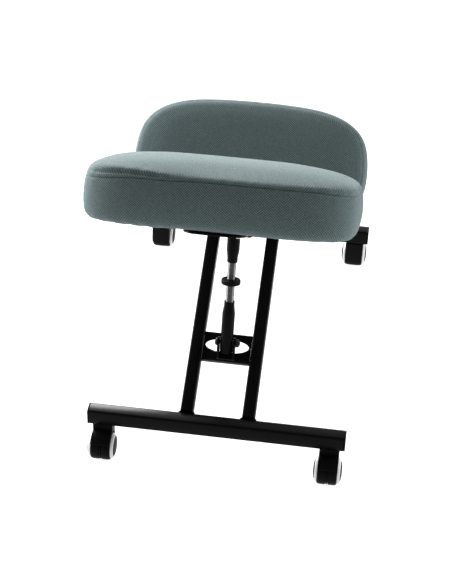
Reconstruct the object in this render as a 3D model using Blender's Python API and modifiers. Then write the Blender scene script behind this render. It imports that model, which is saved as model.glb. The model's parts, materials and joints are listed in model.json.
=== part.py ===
"""Kneeling chair: two crossed steel frames on casters, a forward-tilted seat and a knee pad.

A turnbuckle between the frames sets how far they open, and so the height of the seat.
X runs left to right, Y points the way the sitter faces and Z is up. The origin is on the
floor under the middle of the chair, and every length is in metres.
"""
import math

import bmesh
import bpy
from mathutils import Matrix, Vector

# Fits between pieces
GAP = 0.0003
RUNNING_GAP = 0.0003
OPEN_PIVOT_GAP = 0.0013

# Base bars
REAR_BAR_Y = -0.2668
BAR_SPACING = 0.594
BAR_LENGTH = 0.436
BAR_DEPTH = 0.025
BAR_HEIGHT = 0.030
BAR_WALL = 0.0015
BAR_CORNER = 0.004
CAP_FLANGE = 0.0025
CAP_PLUG = 0.018

# Knee frame: two rails from the rear bar up to the knee pad
RAIL_SPREAD = 0.106
RAIL_WIDTH = 0.022
RAIL_DEPTH = 0.025
RAIL_WALL = 0.0015
RAIL_CORNER = 0.0035
RAIL_SLOPE = math.radians(26.9)
RAIL_LENGTH = 0.455
PIVOT_SET_BACK = 0.0654

# Seat frame: two rails from the front bar, through the pivot, up to the seat
SEAT_RAIL_WIDTH = 0.020
SEAT_RAIL_DEPTH = 0.020
SEAT_RAIL_WALL = 0.0015
SEAT_RAIL_CORNER = 0.0025
SEAT_RAIL_LIFT = 0.0095
SEAT_RAIL_REACH = 0.3290
UPPER_PIN_ALONG = 0.1999
PIVOT_BOLT_RADIUS = 0.005
PIVOT_WASHER = 0.0014
PIVOT_WASHER_RADIUS = 0.0095

# Seat cushion, its board and its bracket
SEAT_BRACKET_ANGLE = math.radians(4.0741)
SEAT_WIDTH = 0.422
SEAT_DEPTH = 0.330
SEAT_THICK = 0.086
SEAT_CROWN = 0.0185
SEAT_FRONT_DROP = 0.021
SEAT_SET_BACK = 0.0569
SEAT_PLATE = 0.0035
SEAT_PLATE_WIDTH = 0.096
SEAT_PLATE_REAR = 0.150
SEAT_PLATE_FRONT = 0.100
SEAT_PLATE_CORNER = 0.030
SEAT_CHEEK = 0.0025

# Knee cushion, its board and its bracket
KNEE_TILT = math.radians(42.0)
KNEE_WIDTH = 0.419
KNEE_UPPER = 0.120
KNEE_LOWER = 0.086
KNEE_THICK = 0.050
KNEE_CROWN = 0.014
KNEE_SET_BACK = 0.0563
KNEE_RISE = 0.0864
KNEE_PLATE = 0.003
KNEE_PLATE_LENGTH = 0.090
KNEE_CHEEK = 0.003

# Boards
BOARD_THICK = 0.010
BOARD_INSET = 0.030

# Cross plate and clevis on the knee rails
CROSS_SET_BACK = 0.3117
CROSS_WEB = 0.050
CROSS_SHEET = 0.003
CROSS_TOP = 0.008
CROSS_FLANGE = 0.013
CROSS_BEND = 0.004
OVAL_WIDTH = 0.072
OVAL_HEIGHT = 0.0274
CLEVIS_FORWARD = 0.0018
CLEVIS_HEIGHT = 0.0276
CLEVIS_EAR = 0.004
CLEVIS_EAR_RADIUS = 0.009
CLEVIS_BASE = 0.009
CLEVIS_SIDE_GAP = 0.0006

# Turnbuckle: its hand wheel stands off the middle between its pins
SLEEVE_RADIUS = 0.011
SLEEVE_NECK_RADIUS = 0.009
SLEEVE_TAIL = 0.0177
SLEEVE_BODY = 0.0546
SLEEVE_SHOULDER = 0.0146
SLEEVE_NECK = 0.0073
SLEEVE_BORE_FLOOR = 0.012
WHEEL_OFFSET = 0.00781
ROD_RADIUS = 0.007
ROD_END_GAP = 0.0249
HAND_WHEEL_RADIUS = 0.0165
HAND_WHEEL_THICK = 0.008
PIN_RADIUS = 0.004

# Bolts
HEAD_EDGE = 0.35
BOLT_HEAD = 0.0045
BOLT_HEAD_RADIUS = 0.0066
PIVOT_HEAD = 0.006
PIVOT_HEAD_RADIUS = 0.0092
NUT_HEIGHT = 0.0055
THREAD_STUB = 0.0015

# Casters
CASTER_INSET = 0.023
CASTER_HEIGHT = 0.0657
CASTER_TRAIL = 0.016
WHEEL_RADIUS = 0.025
TREAD_WIDTH = 0.015
TREAD_EDGE = 0.0026
TREAD_SHOULDER = 0.0060
TREAD_LIP = 0.0012
WHEEL_SPACE = 0.004
DOME = 0.0062
HUB_RADIUS = 0.0162
HUB_STEP = 0.0018
RING_OUTER = 0.0222
RING_WALL = 0.0016
RING_SINK = 0.0004
HOOD_WALL = 0.0025
HOOD_CLEAR = 0.0012
HOOD_BOSS = 0.010
HOOD_FROM = math.radians(-25.0)
HOOD_TO = math.radians(140.0)
HOOD_CORNER_WIDTH = 0.0125
HOOD_CORNER_RISE = 0.018
WEB_THICK = 0.0034
WEB_RECESS = 0.003
WEB_SHORT = math.radians(6.0)
AXLE_RADIUS = 0.003
STEM_RADIUS = 0.005
STEM_SEAT = 0.012
STEM_REACH = 0.020

# Facets
ROUND_STEPS = 20
WHEEL_STEPS = 24
CORNER_STEPS = 3
CAGE_POINTS = 24
CAGE_GROWTH = 1.010

# Derived places
BAR_Z = CASTER_HEIGHT + GAP + BAR_HEIGHT / 2
FRONT_BAR_Y = REAR_BAR_Y + BAR_SPACING
CASTER_SPREAD = BAR_LENGTH - 2 * CASTER_INSET
PIVOT_ALONG = RAIL_LENGTH - PIVOT_SET_BACK
KNEE_BASE_ALONG = RAIL_LENGTH - KNEE_SET_BACK
CROSS_ALONG = RAIL_LENGTH - CROSS_SET_BACK
CLEVIS_ALONG = CROSS_ALONG + CLEVIS_FORWARD
X_AXIS = Vector((1, 0, 0))
RAIL_DIR = Vector((0, math.cos(RAIL_SLOPE), math.sin(RAIL_SLOPE)))
RAIL_UP = Vector((0, -math.sin(RAIL_SLOPE), math.cos(RAIL_SLOPE)))
REAR_ORIGIN = Vector((0, REAR_BAR_Y, BAR_Z))
PIVOT = REAR_ORIGIN + RAIL_DIR * PIVOT_ALONG
SEAT_FOOT = Vector((0, FRONT_BAR_Y, BAR_Z + SEAT_RAIL_LIFT))
SEAT_DIR = (PIVOT - SEAT_FOOT).normalized()
SEAT_UP = Vector((0, SEAT_DIR.z, -SEAT_DIR.y))
SEAT_TILT = math.atan2(SEAT_DIR.z, -SEAT_DIR.y) - SEAT_BRACKET_ANGLE
RAIL_X = RAIL_SPREAD / 2
SEAT_RAIL_X = RAIL_X - RAIL_WIDTH / 2 - PIVOT_WASHER - 2 * GAP - SEAT_RAIL_WIDTH / 2
SEAT_RAIL_TIP = PIVOT + SEAT_DIR * SEAT_RAIL_REACH + SEAT_UP * (SEAT_RAIL_DEPTH / 2)
SEAT_FORE = Vector((0, math.cos(SEAT_TILT), -math.sin(SEAT_TILT)))
SEAT_NORMAL = Vector((0, math.sin(SEAT_TILT), math.cos(SEAT_TILT)))
SEAT_BASE = SEAT_RAIL_TIP + SEAT_NORMAL * (SEAT_PLATE + 2 * GAP) - SEAT_FORE * SEAT_SET_BACK
KNEE_FORE = Vector((0, math.cos(KNEE_TILT), math.sin(KNEE_TILT)))
KNEE_NORMAL = Vector((0, -math.sin(KNEE_TILT), math.cos(KNEE_TILT)))
KNEE_BASE = (REAR_ORIGIN + RAIL_DIR * KNEE_BASE_ALONG + RAIL_UP * (RAIL_DEPTH / 2)
             + KNEE_FORE * KNEE_RISE)
LOWER_PIN = REAR_ORIGIN + RAIL_DIR * CLEVIS_ALONG + RAIL_UP * CLEVIS_HEIGHT
UPPER_PIN = PIVOT + SEAT_DIR * UPPER_PIN_ALONG
SCREW_DIR = (UPPER_PIN - LOWER_PIN).normalized()
SCREW_SPAN = (UPPER_PIN - LOWER_PIN).length
WHEEL_CENTRE = SCREW_SPAN / 2 + WHEEL_OFFSET
ROD_HALF_LENGTH = SCREW_SPAN - WHEEL_CENTRE - ROD_END_GAP
HAND_WHEEL_PLACE = LOWER_PIN + SCREW_DIR * WHEEL_CENTRE
SLEEVE_LENGTH = SLEEVE_BODY + SLEEVE_SHOULDER + SLEEVE_NECK
CLEVIS_INSIDE = 2 * (SLEEVE_RADIUS + CLEVIS_SIDE_GAP)
CLEVIS_OUTSIDE = CLEVIS_INSIDE + 2 * CLEVIS_EAR

FINISHES = {
    "frame_paint": ((0.012, 0.012, 0.013), 0.38, 0.0),
    "zinc": ((0.60, 0.61, 0.62), 0.32, 1.0),
    "black_plastic": ((0.010, 0.010, 0.011), 0.45, 0.0),
    "white_plastic": ((0.80, 0.80, 0.78), 0.40, 0.0),
    "nylon": ((0.70, 0.69, 0.64), 0.50, 0.0),
    "board": ((0.42, 0.30, 0.18), 0.70, 0.0),
    "fabric": ((0.115, 0.145, 0.148), 0.95, 0.0),
}


def make_collection(name):
    collection = bpy.data.collections.new(name)
    bpy.context.scene.collection.children.link(collection)
    return collection


for old in list(bpy.data.objects):
    bpy.data.objects.remove(old, do_unlink=True)
PARTS = make_collection("kneeling_chair")
CUTTERS = make_collection("kneeling_chair_cutters")


# Placing and naming

def finish_material(name, finish):
    """A Principled material of its own for one piece."""
    colour, roughness, metallic = FINISHES[finish]
    material = bpy.data.materials.new(name)
    material.use_nodes = True
    shader = material.node_tree.nodes["Principled BSDF"]
    shader.inputs["Base Color"].default_value = (*colour, 1)
    shader.inputs["Roughness"].default_value = roughness
    shader.inputs["Metallic"].default_value = metallic
    return material


def frame_along(origin, direction, side=X_AXIS):
    """A frame whose Z runs along direction and whose X is side."""
    across = direction.cross(side)
    matrix = Matrix((side, across, direction)).transposed().to_4x4()
    matrix.translation = origin
    return matrix


def sideways(origin):
    """A frame whose Z runs along the chair's X, with its X along Y and its Y along Z."""
    return frame_along(Vector(origin), X_AXIS, Vector((0, 1, 0)))


def pad_frame(base, fore, normal):
    """A pad's frame: X across the chair, Y along the pad and Z out of its face."""
    matrix = Matrix((X_AXIS, fore, normal)).transposed().to_4x4()
    matrix.translation = base
    return matrix


def add_piece(name, mesh, finish, matrix, parent):
    """Put a mesh in the parts collection as one named piece."""
    piece = bpy.data.objects.new(name, mesh)
    PARTS.objects.link(piece)
    mesh.materials.append(finish_material(name, finish))
    piece.matrix_world = matrix
    bpy.context.view_layer.update()
    if parent is not None:
        piece.parent = parent
        piece.matrix_parent_inverse = parent.matrix_world.inverted()
    return piece


def add_empty(name, origin, parent=None):
    """A joint's empty, on the joint's axis."""
    empty = bpy.data.objects.new(name, None)
    PARTS.objects.link(empty)
    empty.empty_display_size = 0.03
    empty.matrix_world = Matrix.Translation(origin)
    bpy.context.view_layer.update()
    if parent is not None:
        empty.parent = parent
        empty.matrix_parent_inverse = parent.matrix_world.inverted()
        bpy.context.view_layer.update()
    return empty


def add_cutter(name, mesh, matrix):
    cutter = bpy.data.objects.new(name, mesh)
    CUTTERS.objects.link(cutter)
    cutter.matrix_world = matrix
    cutter.hide_render = True
    cutter.display_type = "WIRE"
    return cutter


def boolean(piece, tool, operation="DIFFERENCE"):
    """Cut a piece by a cutter, or join the cutter's shape to it."""
    modifier = piece.modifiers.new(tool.name, "BOOLEAN")
    modifier.operation = operation
    modifier.solver = "EXACT"
    modifier.object = tool


# Shapes

def arc(centre, radius, start, end, steps):
    """Points on an arc of a flat outline, from start to end in radians."""
    turns = [start + (end - start) * step / steps for step in range(steps + 1)]
    return [(centre[0] + radius * math.cos(a), centre[1] + radius * math.sin(a)) for a in turns]


def rounded_rectangle(width, height, radius, steps=CORNER_STEPS):
    points = []
    for quarter, (side_x, side_y) in enumerate(((1, 1), (-1, 1), (-1, -1), (1, -1))):
        centre = (side_x * (width / 2 - radius), side_y * (height / 2 - radius))
        points += arc(centre, radius, quarter * math.pi / 2, (quarter + 1) * math.pi / 2, steps)
    return points


def circle(radius, steps=ROUND_STEPS, centre=(0, 0)):
    return arc(centre, radius, 0, 2 * math.pi * (steps - 1) / steps, steps - 1)


def outline_mesh(loops, thickness, name="outline"):
    """A closed mesh of a flat outline, with any holes, centred on z = 0."""
    curve = bpy.data.curves.new(name, "CURVE")
    curve.dimensions = "2D"
    curve.fill_mode = "BOTH"
    curve.extrude = thickness / 2
    for loop in loops:
        spline = curve.splines.new("POLY")
        spline.points.add(len(loop) - 1)
        spline.use_cyclic_u = True
        for point, (x, y) in zip(spline.points, loop):
            point.co = (x, y, 0, 1)
    guide = bpy.data.objects.new(name, curve)
    CUTTERS.objects.link(guide)
    bpy.context.view_layer.update()
    mesh = bpy.data.meshes.new_from_object(guide.evaluated_get(bpy.context.evaluated_depsgraph_get()))
    bpy.data.objects.remove(guide)
    bpy.data.curves.remove(curve)
    return welded(mesh)


def welded(mesh):
    """Join a mesh's loose caps to its walls, with its faces pointing out."""
    work = bmesh.new()
    work.from_mesh(mesh)
    bmesh.ops.remove_doubles(work, verts=work.verts, dist=0.00001)
    bmesh.ops.recalc_face_normals(work, faces=work.faces)
    work.to_mesh(mesh)
    work.free()
    mesh.materials.clear()
    return mesh


def smooth(mesh, degrees=35):
    mesh.shade_smooth()
    mesh.set_sharp_from_angle(angle=math.radians(degrees))
    return mesh


def turned_mesh(profile, steps=ROUND_STEPS, closed=False, name="turned"):
    """A turned solid from (radius, height) points that run down its outer side."""
    count = len(profile)
    edges = [(i, i + 1) for i in range(count - 1)]
    if closed:
        edges.append((count - 1, 0))
    mesh = bpy.data.meshes.new(name)
    mesh.from_pydata([(radius, 0, height) for radius, height in profile], edges, [])
    guide = bpy.data.objects.new(name, mesh)
    CUTTERS.objects.link(guide)
    screw = guide.modifiers.new("turn", "SCREW")
    screw.axis = "Z"
    screw.steps = steps
    screw.render_steps = steps
    screw.use_merge_vertices = True
    screw.merge_threshold = 0.00001
    bpy.context.view_layer.update()
    solid = bpy.data.meshes.new_from_object(guide.evaluated_get(bpy.context.evaluated_depsgraph_get()))
    bpy.data.objects.remove(guide)
    return smooth(welded(solid))


def box_mesh(size, centre=(0, 0, 0)):
    work = bmesh.new()
    bmesh.ops.create_cube(work, size=1, matrix=Matrix.Translation(centre) @ Matrix.Diagonal((*size, 1)))
    mesh = bpy.data.meshes.new("box")
    work.to_mesh(mesh)
    work.free()
    return mesh


def rod_mesh(radius, length, steps=ROUND_STEPS):
    """A plain cylinder centred on z = 0."""
    half = length / 2
    return turned_mesh([(0, half), (radius, half), (radius, -half), (0, -half)], steps)


def tube_mesh(width, depth, length, wall, corner):
    """A rectangular tube along z, centred on z = 0."""
    outer = rounded_rectangle(width, depth, corner)
    inner = rounded_rectangle(width - 2 * wall, depth - 2 * wall, corner - wall)
    return smooth(outline_mesh([outer, inner[::-1]], length))


def plug_mesh(width, depth, wall, corner):
    """A tube's end cap: a flange over z > 0 and a plug in the tube below it."""
    flange = outline_mesh([rounded_rectangle(width, depth, corner)], CAP_FLANGE)
    flange.transform(Matrix.Translation((0, 0, GAP + CAP_FLANGE / 2)))
    inside = wall + GAP
    plug = outline_mesh([rounded_rectangle(width - 2 * inside, depth - 2 * inside, corner - wall)],
                        CAP_PLUG + GAP)
    plug.transform(Matrix.Translation((0, 0, (GAP - CAP_PLUG) / 2 + CAP_FLANGE / 4)))
    guide = bpy.data.objects.new("plug", flange)
    CUTTERS.objects.link(guide)
    tool = add_cutter("plug_body", plug, Matrix.Identity(4))
    boolean(guide, tool, "UNION")
    bpy.context.view_layer.update()
    mesh = bpy.data.meshes.new_from_object(guide.evaluated_get(bpy.context.evaluated_depsgraph_get()))
    bpy.data.objects.remove(guide)
    bpy.data.objects.remove(tool)
    return smooth(welded(mesh))


def superellipse(half_x, half_front, half_rear, power_x, power_y, count):
    """A soft rectangle's outline, fuller as its powers grow."""
    points = []
    for step in range(count):
        angle = 2 * math.pi * step / count
        c, s = math.cos(angle), math.sin(angle)
        half_y = half_front if s >= 0 else half_rear
        points.append((math.copysign(half_x * abs(c) ** (2 / power_x), c),
                       math.copysign(half_y * abs(s) ** (2 / power_y), s)))
    return points


def cushion_mesh(outline, levels, drop=lambda x, y, z: z):
    """A cushion's coarse cage: its outline drawn in to each (inset, height) level in turn.

    Smoothing pulls the cage in, so it is drawn a little larger than the finished cushion.
    """
    work = bmesh.new()
    rings = []
    for inset, height in levels:
        ring = [work.verts.new((x * CAGE_GROWTH, y * CAGE_GROWTH, drop(x, y, height)))
                for x, y in outline(inset)]
        rings.append(ring)
    for lower, upper in zip(rings, rings[1:]):
        count = len(lower)
        for i in range(count):
            j = (i + 1) % count
            work.faces.new((lower[i], lower[j], upper[j], upper[i]))
    work.faces.new(rings[0][::-1])
    work.faces.new(rings[-1])
    mesh = bpy.data.meshes.new("cushion")
    work.to_mesh(mesh)
    work.free()
    mesh.shade_smooth()
    return mesh


def soften(piece):
    """Round a cushion's cage."""
    modifier = piece.modifiers.new("soft", "SUBSURF")
    modifier.levels = 1
    modifier.render_levels = 1


# Bars, rails and their caps

def base_bar(name, y, parent):
    """A crossbar on two casters, with a hole for each caster's stem."""
    tube = tube_mesh(BAR_DEPTH, BAR_HEIGHT, BAR_LENGTH, BAR_WALL, BAR_CORNER)
    bar = add_piece(name, tube, "frame_paint", sideways((0, y, BAR_Z)), parent)
    for side in (-1, 1):
        place = Matrix.Translation((side * CASTER_SPREAD / 2, y, BAR_Z - BAR_HEIGHT / 2))
        hole = rod_mesh(STEM_RADIUS + RUNNING_GAP, BAR_HEIGHT / 2)
        boolean(bar, add_cutter(f"{name}_stem_hole", hole, place))
    plug = plug_mesh(BAR_DEPTH, BAR_HEIGHT, BAR_WALL, BAR_CORNER)
    end = Matrix.Translation((0, 0, BAR_LENGTH / 2))
    for word, turn in (("left", math.pi), ("right", 0)):
        place = sideways((0, y, BAR_Z)) @ Matrix.Rotation(turn, 4, "X") @ end
        add_piece(f"{name}_cap_{word}", plug.copy(), "black_plastic", place, parent)


def bar_envelope(name, y):
    """A cutter the size of a bar, with a gap all round, that trims what is welded to it."""
    size = (2 * BAR_LENGTH, BAR_DEPTH + 2 * GAP, BAR_HEIGHT + 2 * GAP)
    return add_cutter(name, box_mesh(size), Matrix.Translation((0, y, BAR_Z)))


def across_hole(name, radius, place):
    """A cutter for a bolt hole right across the chair."""
    return add_cutter(name, rod_mesh(radius, 2 * RAIL_SPREAD), sideways(place))


def knee_rails(parent):
    """The two rails of the knee frame, trimmed to the rear bar's face and drilled for the pivot."""
    trim_size = (2 * RAIL_SPREAD, BAR_SPACING, BAR_SPACING)
    trim_y = REAR_BAR_Y + BAR_DEPTH / 2 + GAP - BAR_SPACING / 2
    trim = add_cutter("rail_trim", box_mesh(trim_size), Matrix.Translation((0, trim_y, BAR_Z)))
    hole = across_hole("pivot_hole", PIVOT_BOLT_RADIUS + RUNNING_GAP, PIVOT)
    plug = plug_mesh(RAIL_WIDTH, RAIL_DEPTH, RAIL_WALL, RAIL_CORNER)
    for side, word in ((-1, "left"), (1, "right")):
        x = X_AXIS * (side * RAIL_X)
        middle = REAR_ORIGIN + RAIL_DIR * (RAIL_LENGTH / 2) + x
        tube = tube_mesh(RAIL_WIDTH, RAIL_DEPTH, RAIL_LENGTH, RAIL_WALL, RAIL_CORNER)
        rail = add_piece(f"knee_rail_{word}", tube, "frame_paint", frame_along(middle, RAIL_DIR), parent)
        boolean(rail, trim)
        boolean(rail, hole)
        tip = frame_along(REAR_ORIGIN + RAIL_DIR * RAIL_LENGTH + x, RAIL_DIR)
        add_piece(f"knee_rail_cap_{word}", plug.copy(), "black_plastic", tip, parent)


def seat_rails(parent):
    """The two rails of the seat frame, notched over the front bar and drilled for both bolts."""
    notch = bar_envelope("bar_notch", FRONT_BAR_Y)
    below = add_cutter("bar_below", box_mesh((BAR_SPACING, BAR_SPACING, BAR_HEIGHT)),
                       Matrix.Translation((0, FRONT_BAR_Y + BAR_SPACING / 2 - BAR_DEPTH / 2,
                                           BAR_Z - BAR_HEIGHT)))
    front = add_cutter("bar_front", box_mesh((BAR_SPACING, BAR_SPACING, BAR_SPACING)),
                       Matrix.Translation((0, FRONT_BAR_Y + BAR_DEPTH / 2 + BAR_SPACING / 2, BAR_Z)))
    pivot_hole = across_hole("seat_pivot_hole", PIVOT_BOLT_RADIUS + RUNNING_GAP, PIVOT)
    pin_hole = across_hole("upper_pin_hole", PIN_RADIUS + GAP, UPPER_PIN)
    foot = (SEAT_FOOT - PIVOT).length + BAR_DEPTH
    length = SEAT_RAIL_REACH + foot
    for side, word in ((-1, "left"), (1, "right")):
        middle = PIVOT + SEAT_DIR * ((SEAT_RAIL_REACH - foot) / 2) + X_AXIS * (side * SEAT_RAIL_X)
        tube = tube_mesh(SEAT_RAIL_WIDTH, SEAT_RAIL_DEPTH, length, SEAT_RAIL_WALL, SEAT_RAIL_CORNER)
        rail = add_piece(f"seat_rail_{word}", tube, "frame_paint", frame_along(middle, SEAT_DIR), parent)
        for cutter in (notch, below, front, pivot_hole, pin_hole):
            boolean(rail, cutter)


# Cross plate and clevis

def rail_side_view():
    """A frame to draw in, seen along X: its X runs up the knee rails and its Y out of them."""
    return frame_along(REAR_ORIGIN, X_AXIS, RAIL_DIR)


def cross_plate(parent):
    """A folded channel between the knee rails, with an oval opening in its web."""
    low = CROSS_ALONG - CROSS_WEB / 2
    high = CROSS_ALONG + CROSS_WEB / 2
    top = CROSS_TOP
    foot = top - CROSS_FLANGE
    inner = CROSS_BEND - CROSS_SHEET
    outline = [(low, foot)]
    outline += arc((low + CROSS_BEND, top - CROSS_BEND), CROSS_BEND, math.pi, math.pi / 2, CORNER_STEPS)
    outline += arc((high - CROSS_BEND, top - CROSS_BEND), CROSS_BEND, math.pi / 2, 0, CORNER_STEPS)
    outline += [(high, foot), (high - CROSS_SHEET, foot)]
    outline += arc((high - CROSS_BEND, top - CROSS_BEND), inner, 0, math.pi / 2, CORNER_STEPS)
    outline += arc((low + CROSS_BEND, top - CROSS_BEND), inner, math.pi / 2, math.pi, CORNER_STEPS)
    outline.append((low + CROSS_SHEET, foot))
    width = RAIL_SPREAD - RAIL_WIDTH - 2 * GAP
    plate = add_piece("cross_plate", smooth(outline_mesh([outline], width)), "frame_paint",
                      rail_side_view(), parent)
    oval = outline_mesh([rounded_rectangle(OVAL_WIDTH, OVAL_HEIGHT, OVAL_HEIGHT * 0.4999, 8)], CROSS_TOP)
    face = frame_along(REAR_ORIGIN + RAIL_DIR * CROSS_ALONG + RAIL_UP * CROSS_TOP, RAIL_UP)
    boolean(plate, add_cutter("oval", oval, face))


def clevis(parent):
    """The forked lug that holds the turnbuckle's lower pin."""
    seat = CROSS_TOP + GAP
    start = CROSS_ALONG - CROSS_WEB / 2 + CROSS_BEND / 2
    centre = (CLEVIS_ALONG, CLEVIS_HEIGHT)
    outline = arc(centre, CLEVIS_EAR_RADIUS, math.radians(-35), math.radians(150), 12)
    outline += [(start, seat + CLEVIS_EAR), (start, seat), (start + CLEVIS_BASE, seat)]
    lug = add_piece("lower_clevis", smooth(outline_mesh([outline], CLEVIS_OUTSIDE)), "frame_paint",
                    rail_side_view(), parent)
    slot_size = (2 * CROSS_WEB, 2 * CROSS_WEB, CLEVIS_INSIDE)
    slot_low = seat + CLEVIS_EAR * 0.75
    slot = box_mesh(slot_size, (CLEVIS_ALONG, slot_low + CROSS_WEB, 0))
    boolean(lug, add_cutter("clevis_slot", slot, rail_side_view()))
    boolean(lug, across_hole("lower_pin_hole", PIN_RADIUS + GAP, LOWER_PIN))


# Bolts

def bolt_mesh(radius, head_radius, head, grip, stub):
    """A bolt along z: its domed head under z = -grip/2, its shank's end past +grip/2."""
    low = -grip / 2 - GAP
    return turned_mesh([(0, grip / 2 + stub), (radius, grip / 2 + stub), (radius, low),
                        (head_radius, low), (head_radius, low - head * HEAD_EDGE),
                        (head_radius * 0.75, low - head * 0.85), (0, low - head)])


def nut_mesh(radius, across, height):
    """A hexagon nut centred on z = 0."""
    hexagon = circle(across / math.sqrt(3), 6)
    return smooth(outline_mesh([hexagon, circle(radius + GAP, 16)[::-1]], height))


def bolt_and_nut(name, place, radius, head_radius, head, grip, parent):
    stub = NUT_HEIGHT + THREAD_STUB + 2 * GAP
    bolt = bolt_mesh(radius, head_radius, head, grip, stub)
    add_piece(f"{name}_bolt", bolt, "zinc", sideways(place), parent)
    end = Vector(place) + X_AXIS * (grip / 2 + GAP + NUT_HEIGHT / 2)
    nut = nut_mesh(radius, 1.9 * head_radius, NUT_HEIGHT)
    add_piece(f"{name}_nut", nut, "zinc", sideways(end), parent)


def bush(name, outer, inner, length, place, parent):
    """A bush or washer round a bolt."""
    half = length / 2
    ring = turned_mesh([(inner, half), (outer, half), (outer, -half), (inner, -half)], closed=True)
    add_piece(name, ring, "nylon", sideways(place), parent)


def pivot(parent):
    """The bolt that the two frames cross on, with its nut, washers and middle spacer."""
    grip = RAIL_SPREAD + RAIL_WIDTH
    bolt_and_nut("pivot", PIVOT, PIVOT_BOLT_RADIUS, PIVOT_HEAD_RADIUS, PIVOT_HEAD, grip, parent)
    bore = PIVOT_BOLT_RADIUS + GAP
    washer_x = RAIL_X - RAIL_WIDTH / 2 - GAP - PIVOT_WASHER / 2
    spacer = 2 * (SEAT_RAIL_X - SEAT_RAIL_WIDTH / 2 - GAP)
    bush("pivot_spacer", PIVOT_WASHER_RADIUS, bore, spacer, PIVOT, parent)
    for side, word in ((-1, "left"), (1, "right")):
        place = PIVOT + X_AXIS * (side * washer_x)
        bush(f"pivot_washer_{word}", PIVOT_WASHER_RADIUS, bore, PIVOT_WASHER, place, parent)


def upper_pin(parent):
    """The bolt through the seat rails that carries the turnbuckle's upper end."""
    grip = 2 * SEAT_RAIL_X + SEAT_RAIL_WIDTH
    bolt_and_nut("upper", UPPER_PIN, PIN_RADIUS, BOLT_HEAD_RADIUS, BOLT_HEAD, grip, parent)
    near = SLEEVE_RADIUS + CLEVIS_SIDE_GAP
    far = SEAT_RAIL_X - SEAT_RAIL_WIDTH / 2 - GAP
    for side, word in ((-1, "left"), (1, "right")):
        place = UPPER_PIN + X_AXIS * (side * (far + near) / 2)
        bush(f"upper_spacer_{word}", BOLT_HEAD_RADIUS, PIN_RADIUS + GAP, far - near, place, parent)


# Turnbuckle

def sleeve_profile(tail, length, floor):
    """A threaded sleeve's profile: blind bore, neck, shoulder and body, from its pin at z = 0."""
    bore = ROD_RADIUS + RUNNING_GAP
    edge = SLEEVE_RADIUS * 0.12
    shoulder = length - SLEEVE_NECK - SLEEVE_SHOULDER
    return [(0, floor), (bore, floor), (bore, length), (SLEEVE_NECK_RADIUS, length),
            (SLEEVE_NECK_RADIUS, length - SLEEVE_NECK), (SLEEVE_RADIUS, shoulder),
            (SLEEVE_RADIUS, edge - tail), (SLEEVE_RADIUS - edge, -tail), (0, -tail)]


def turnbuckle(lower_parent, screw_parent, wheel_parent, upper_parent):
    """Two sleeves, the rod with a thread of each hand, and the hand wheel fixed on its middle."""
    lower = turned_mesh(sleeve_profile(SLEEVE_TAIL, SLEEVE_LENGTH, SLEEVE_BORE_FLOOR))
    sleeve = add_piece("lower_sleeve", lower, "frame_paint", frame_along(LOWER_PIN, SCREW_DIR), lower_parent)
    boolean(sleeve, across_hole("lower_eye", PIN_RADIUS + RUNNING_GAP, LOWER_PIN))
    show = WHEEL_CENTRE - SLEEVE_LENGTH
    length = SCREW_SPAN - WHEEL_CENTRE - show
    upper = turned_mesh(sleeve_profile(SLEEVE_BORE_FLOOR, length, SLEEVE_BORE_FLOOR))
    flip = frame_along(UPPER_PIN, -SCREW_DIR)
    sleeve = add_piece("upper_sleeve", upper, "frame_paint", flip, upper_parent)
    boolean(sleeve, across_hole("upper_eye", PIN_RADIUS + OPEN_PIVOT_GAP, UPPER_PIN))
    middle = frame_along(HAND_WHEEL_PLACE, SCREW_DIR)
    chamfer = ROD_RADIUS * 0.15
    half = ROD_HALF_LENGTH
    rod = turned_mesh([(0, half), (ROD_RADIUS - chamfer, half), (ROD_RADIUS, half - chamfer),
                       (ROD_RADIUS, chamfer - half), (ROD_RADIUS - chamfer, -half), (0, -half)])
    add_piece("screw_rod", rod, "zinc", middle, screw_parent)
    rim = HAND_WHEEL_THICK / 2
    grip = arc((HAND_WHEEL_RADIUS - rim, 0), rim, math.pi / 2, -math.pi / 2, 6)
    bore = ROD_RADIUS + GAP
    wheel = turned_mesh([(bore, rim)] + grip + [(bore, -rim)], WHEEL_STEPS, closed=True)
    add_piece("hand_wheel", wheel, "black_plastic", middle, wheel_parent)


# Casters

def wheel_profile():
    """A wheel's profile: bore, tread and domed side with a step for the ring, from its inner face."""
    inner = WHEEL_SPACE / 2
    side = inner + TREAD_WIDTH
    tread = WHEEL_RADIUS / math.cos(math.pi / WHEEL_STEPS)
    bore = AXLE_RADIUS + RUNNING_GAP
    ring_in = side + DOME - HUB_STEP - RING_WALL
    dome = [(HUB_RADIUS * math.sin(a), side + DOME - HUB_STEP * (1 - math.cos(a)))
            for a in (math.radians(angle) for angle in (0, 25, 50, 90))]
    shoulder = [(tread - TREAD_EDGE * (1 - math.sin(a)), side - TREAD_SHOULDER * (1 - math.cos(a)))
                for a in (math.radians(angle) for angle in (0, 30, 60, 90))]
    return dome + [(HUB_RADIUS, ring_in), (RING_OUTER, side - RING_SINK)] + shoulder + [
        (tread, inner + TREAD_LIP), (tread - TREAD_LIP, inner), (bore, inner), (bore, ring_in), (0, ring_in)]


def ring_profile():
    """The pale ring round the hub, on the wheel's domed side."""
    side = WHEEL_SPACE / 2 + TREAD_WIDTH
    inner = HUB_RADIUS + GAP
    foot = side - RING_SINK + GAP
    seat = side + DOME - HUB_STEP - RING_WALL + GAP
    top = seat + RING_WALL
    bulge = ((inner + RING_OUTER) / 2, (top + foot) / 2 + RING_WALL)
    return [(inner, top), bulge, (RING_OUTER, foot + RING_WALL * 0.5), (RING_OUTER, foot), (inner, seat)]


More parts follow.
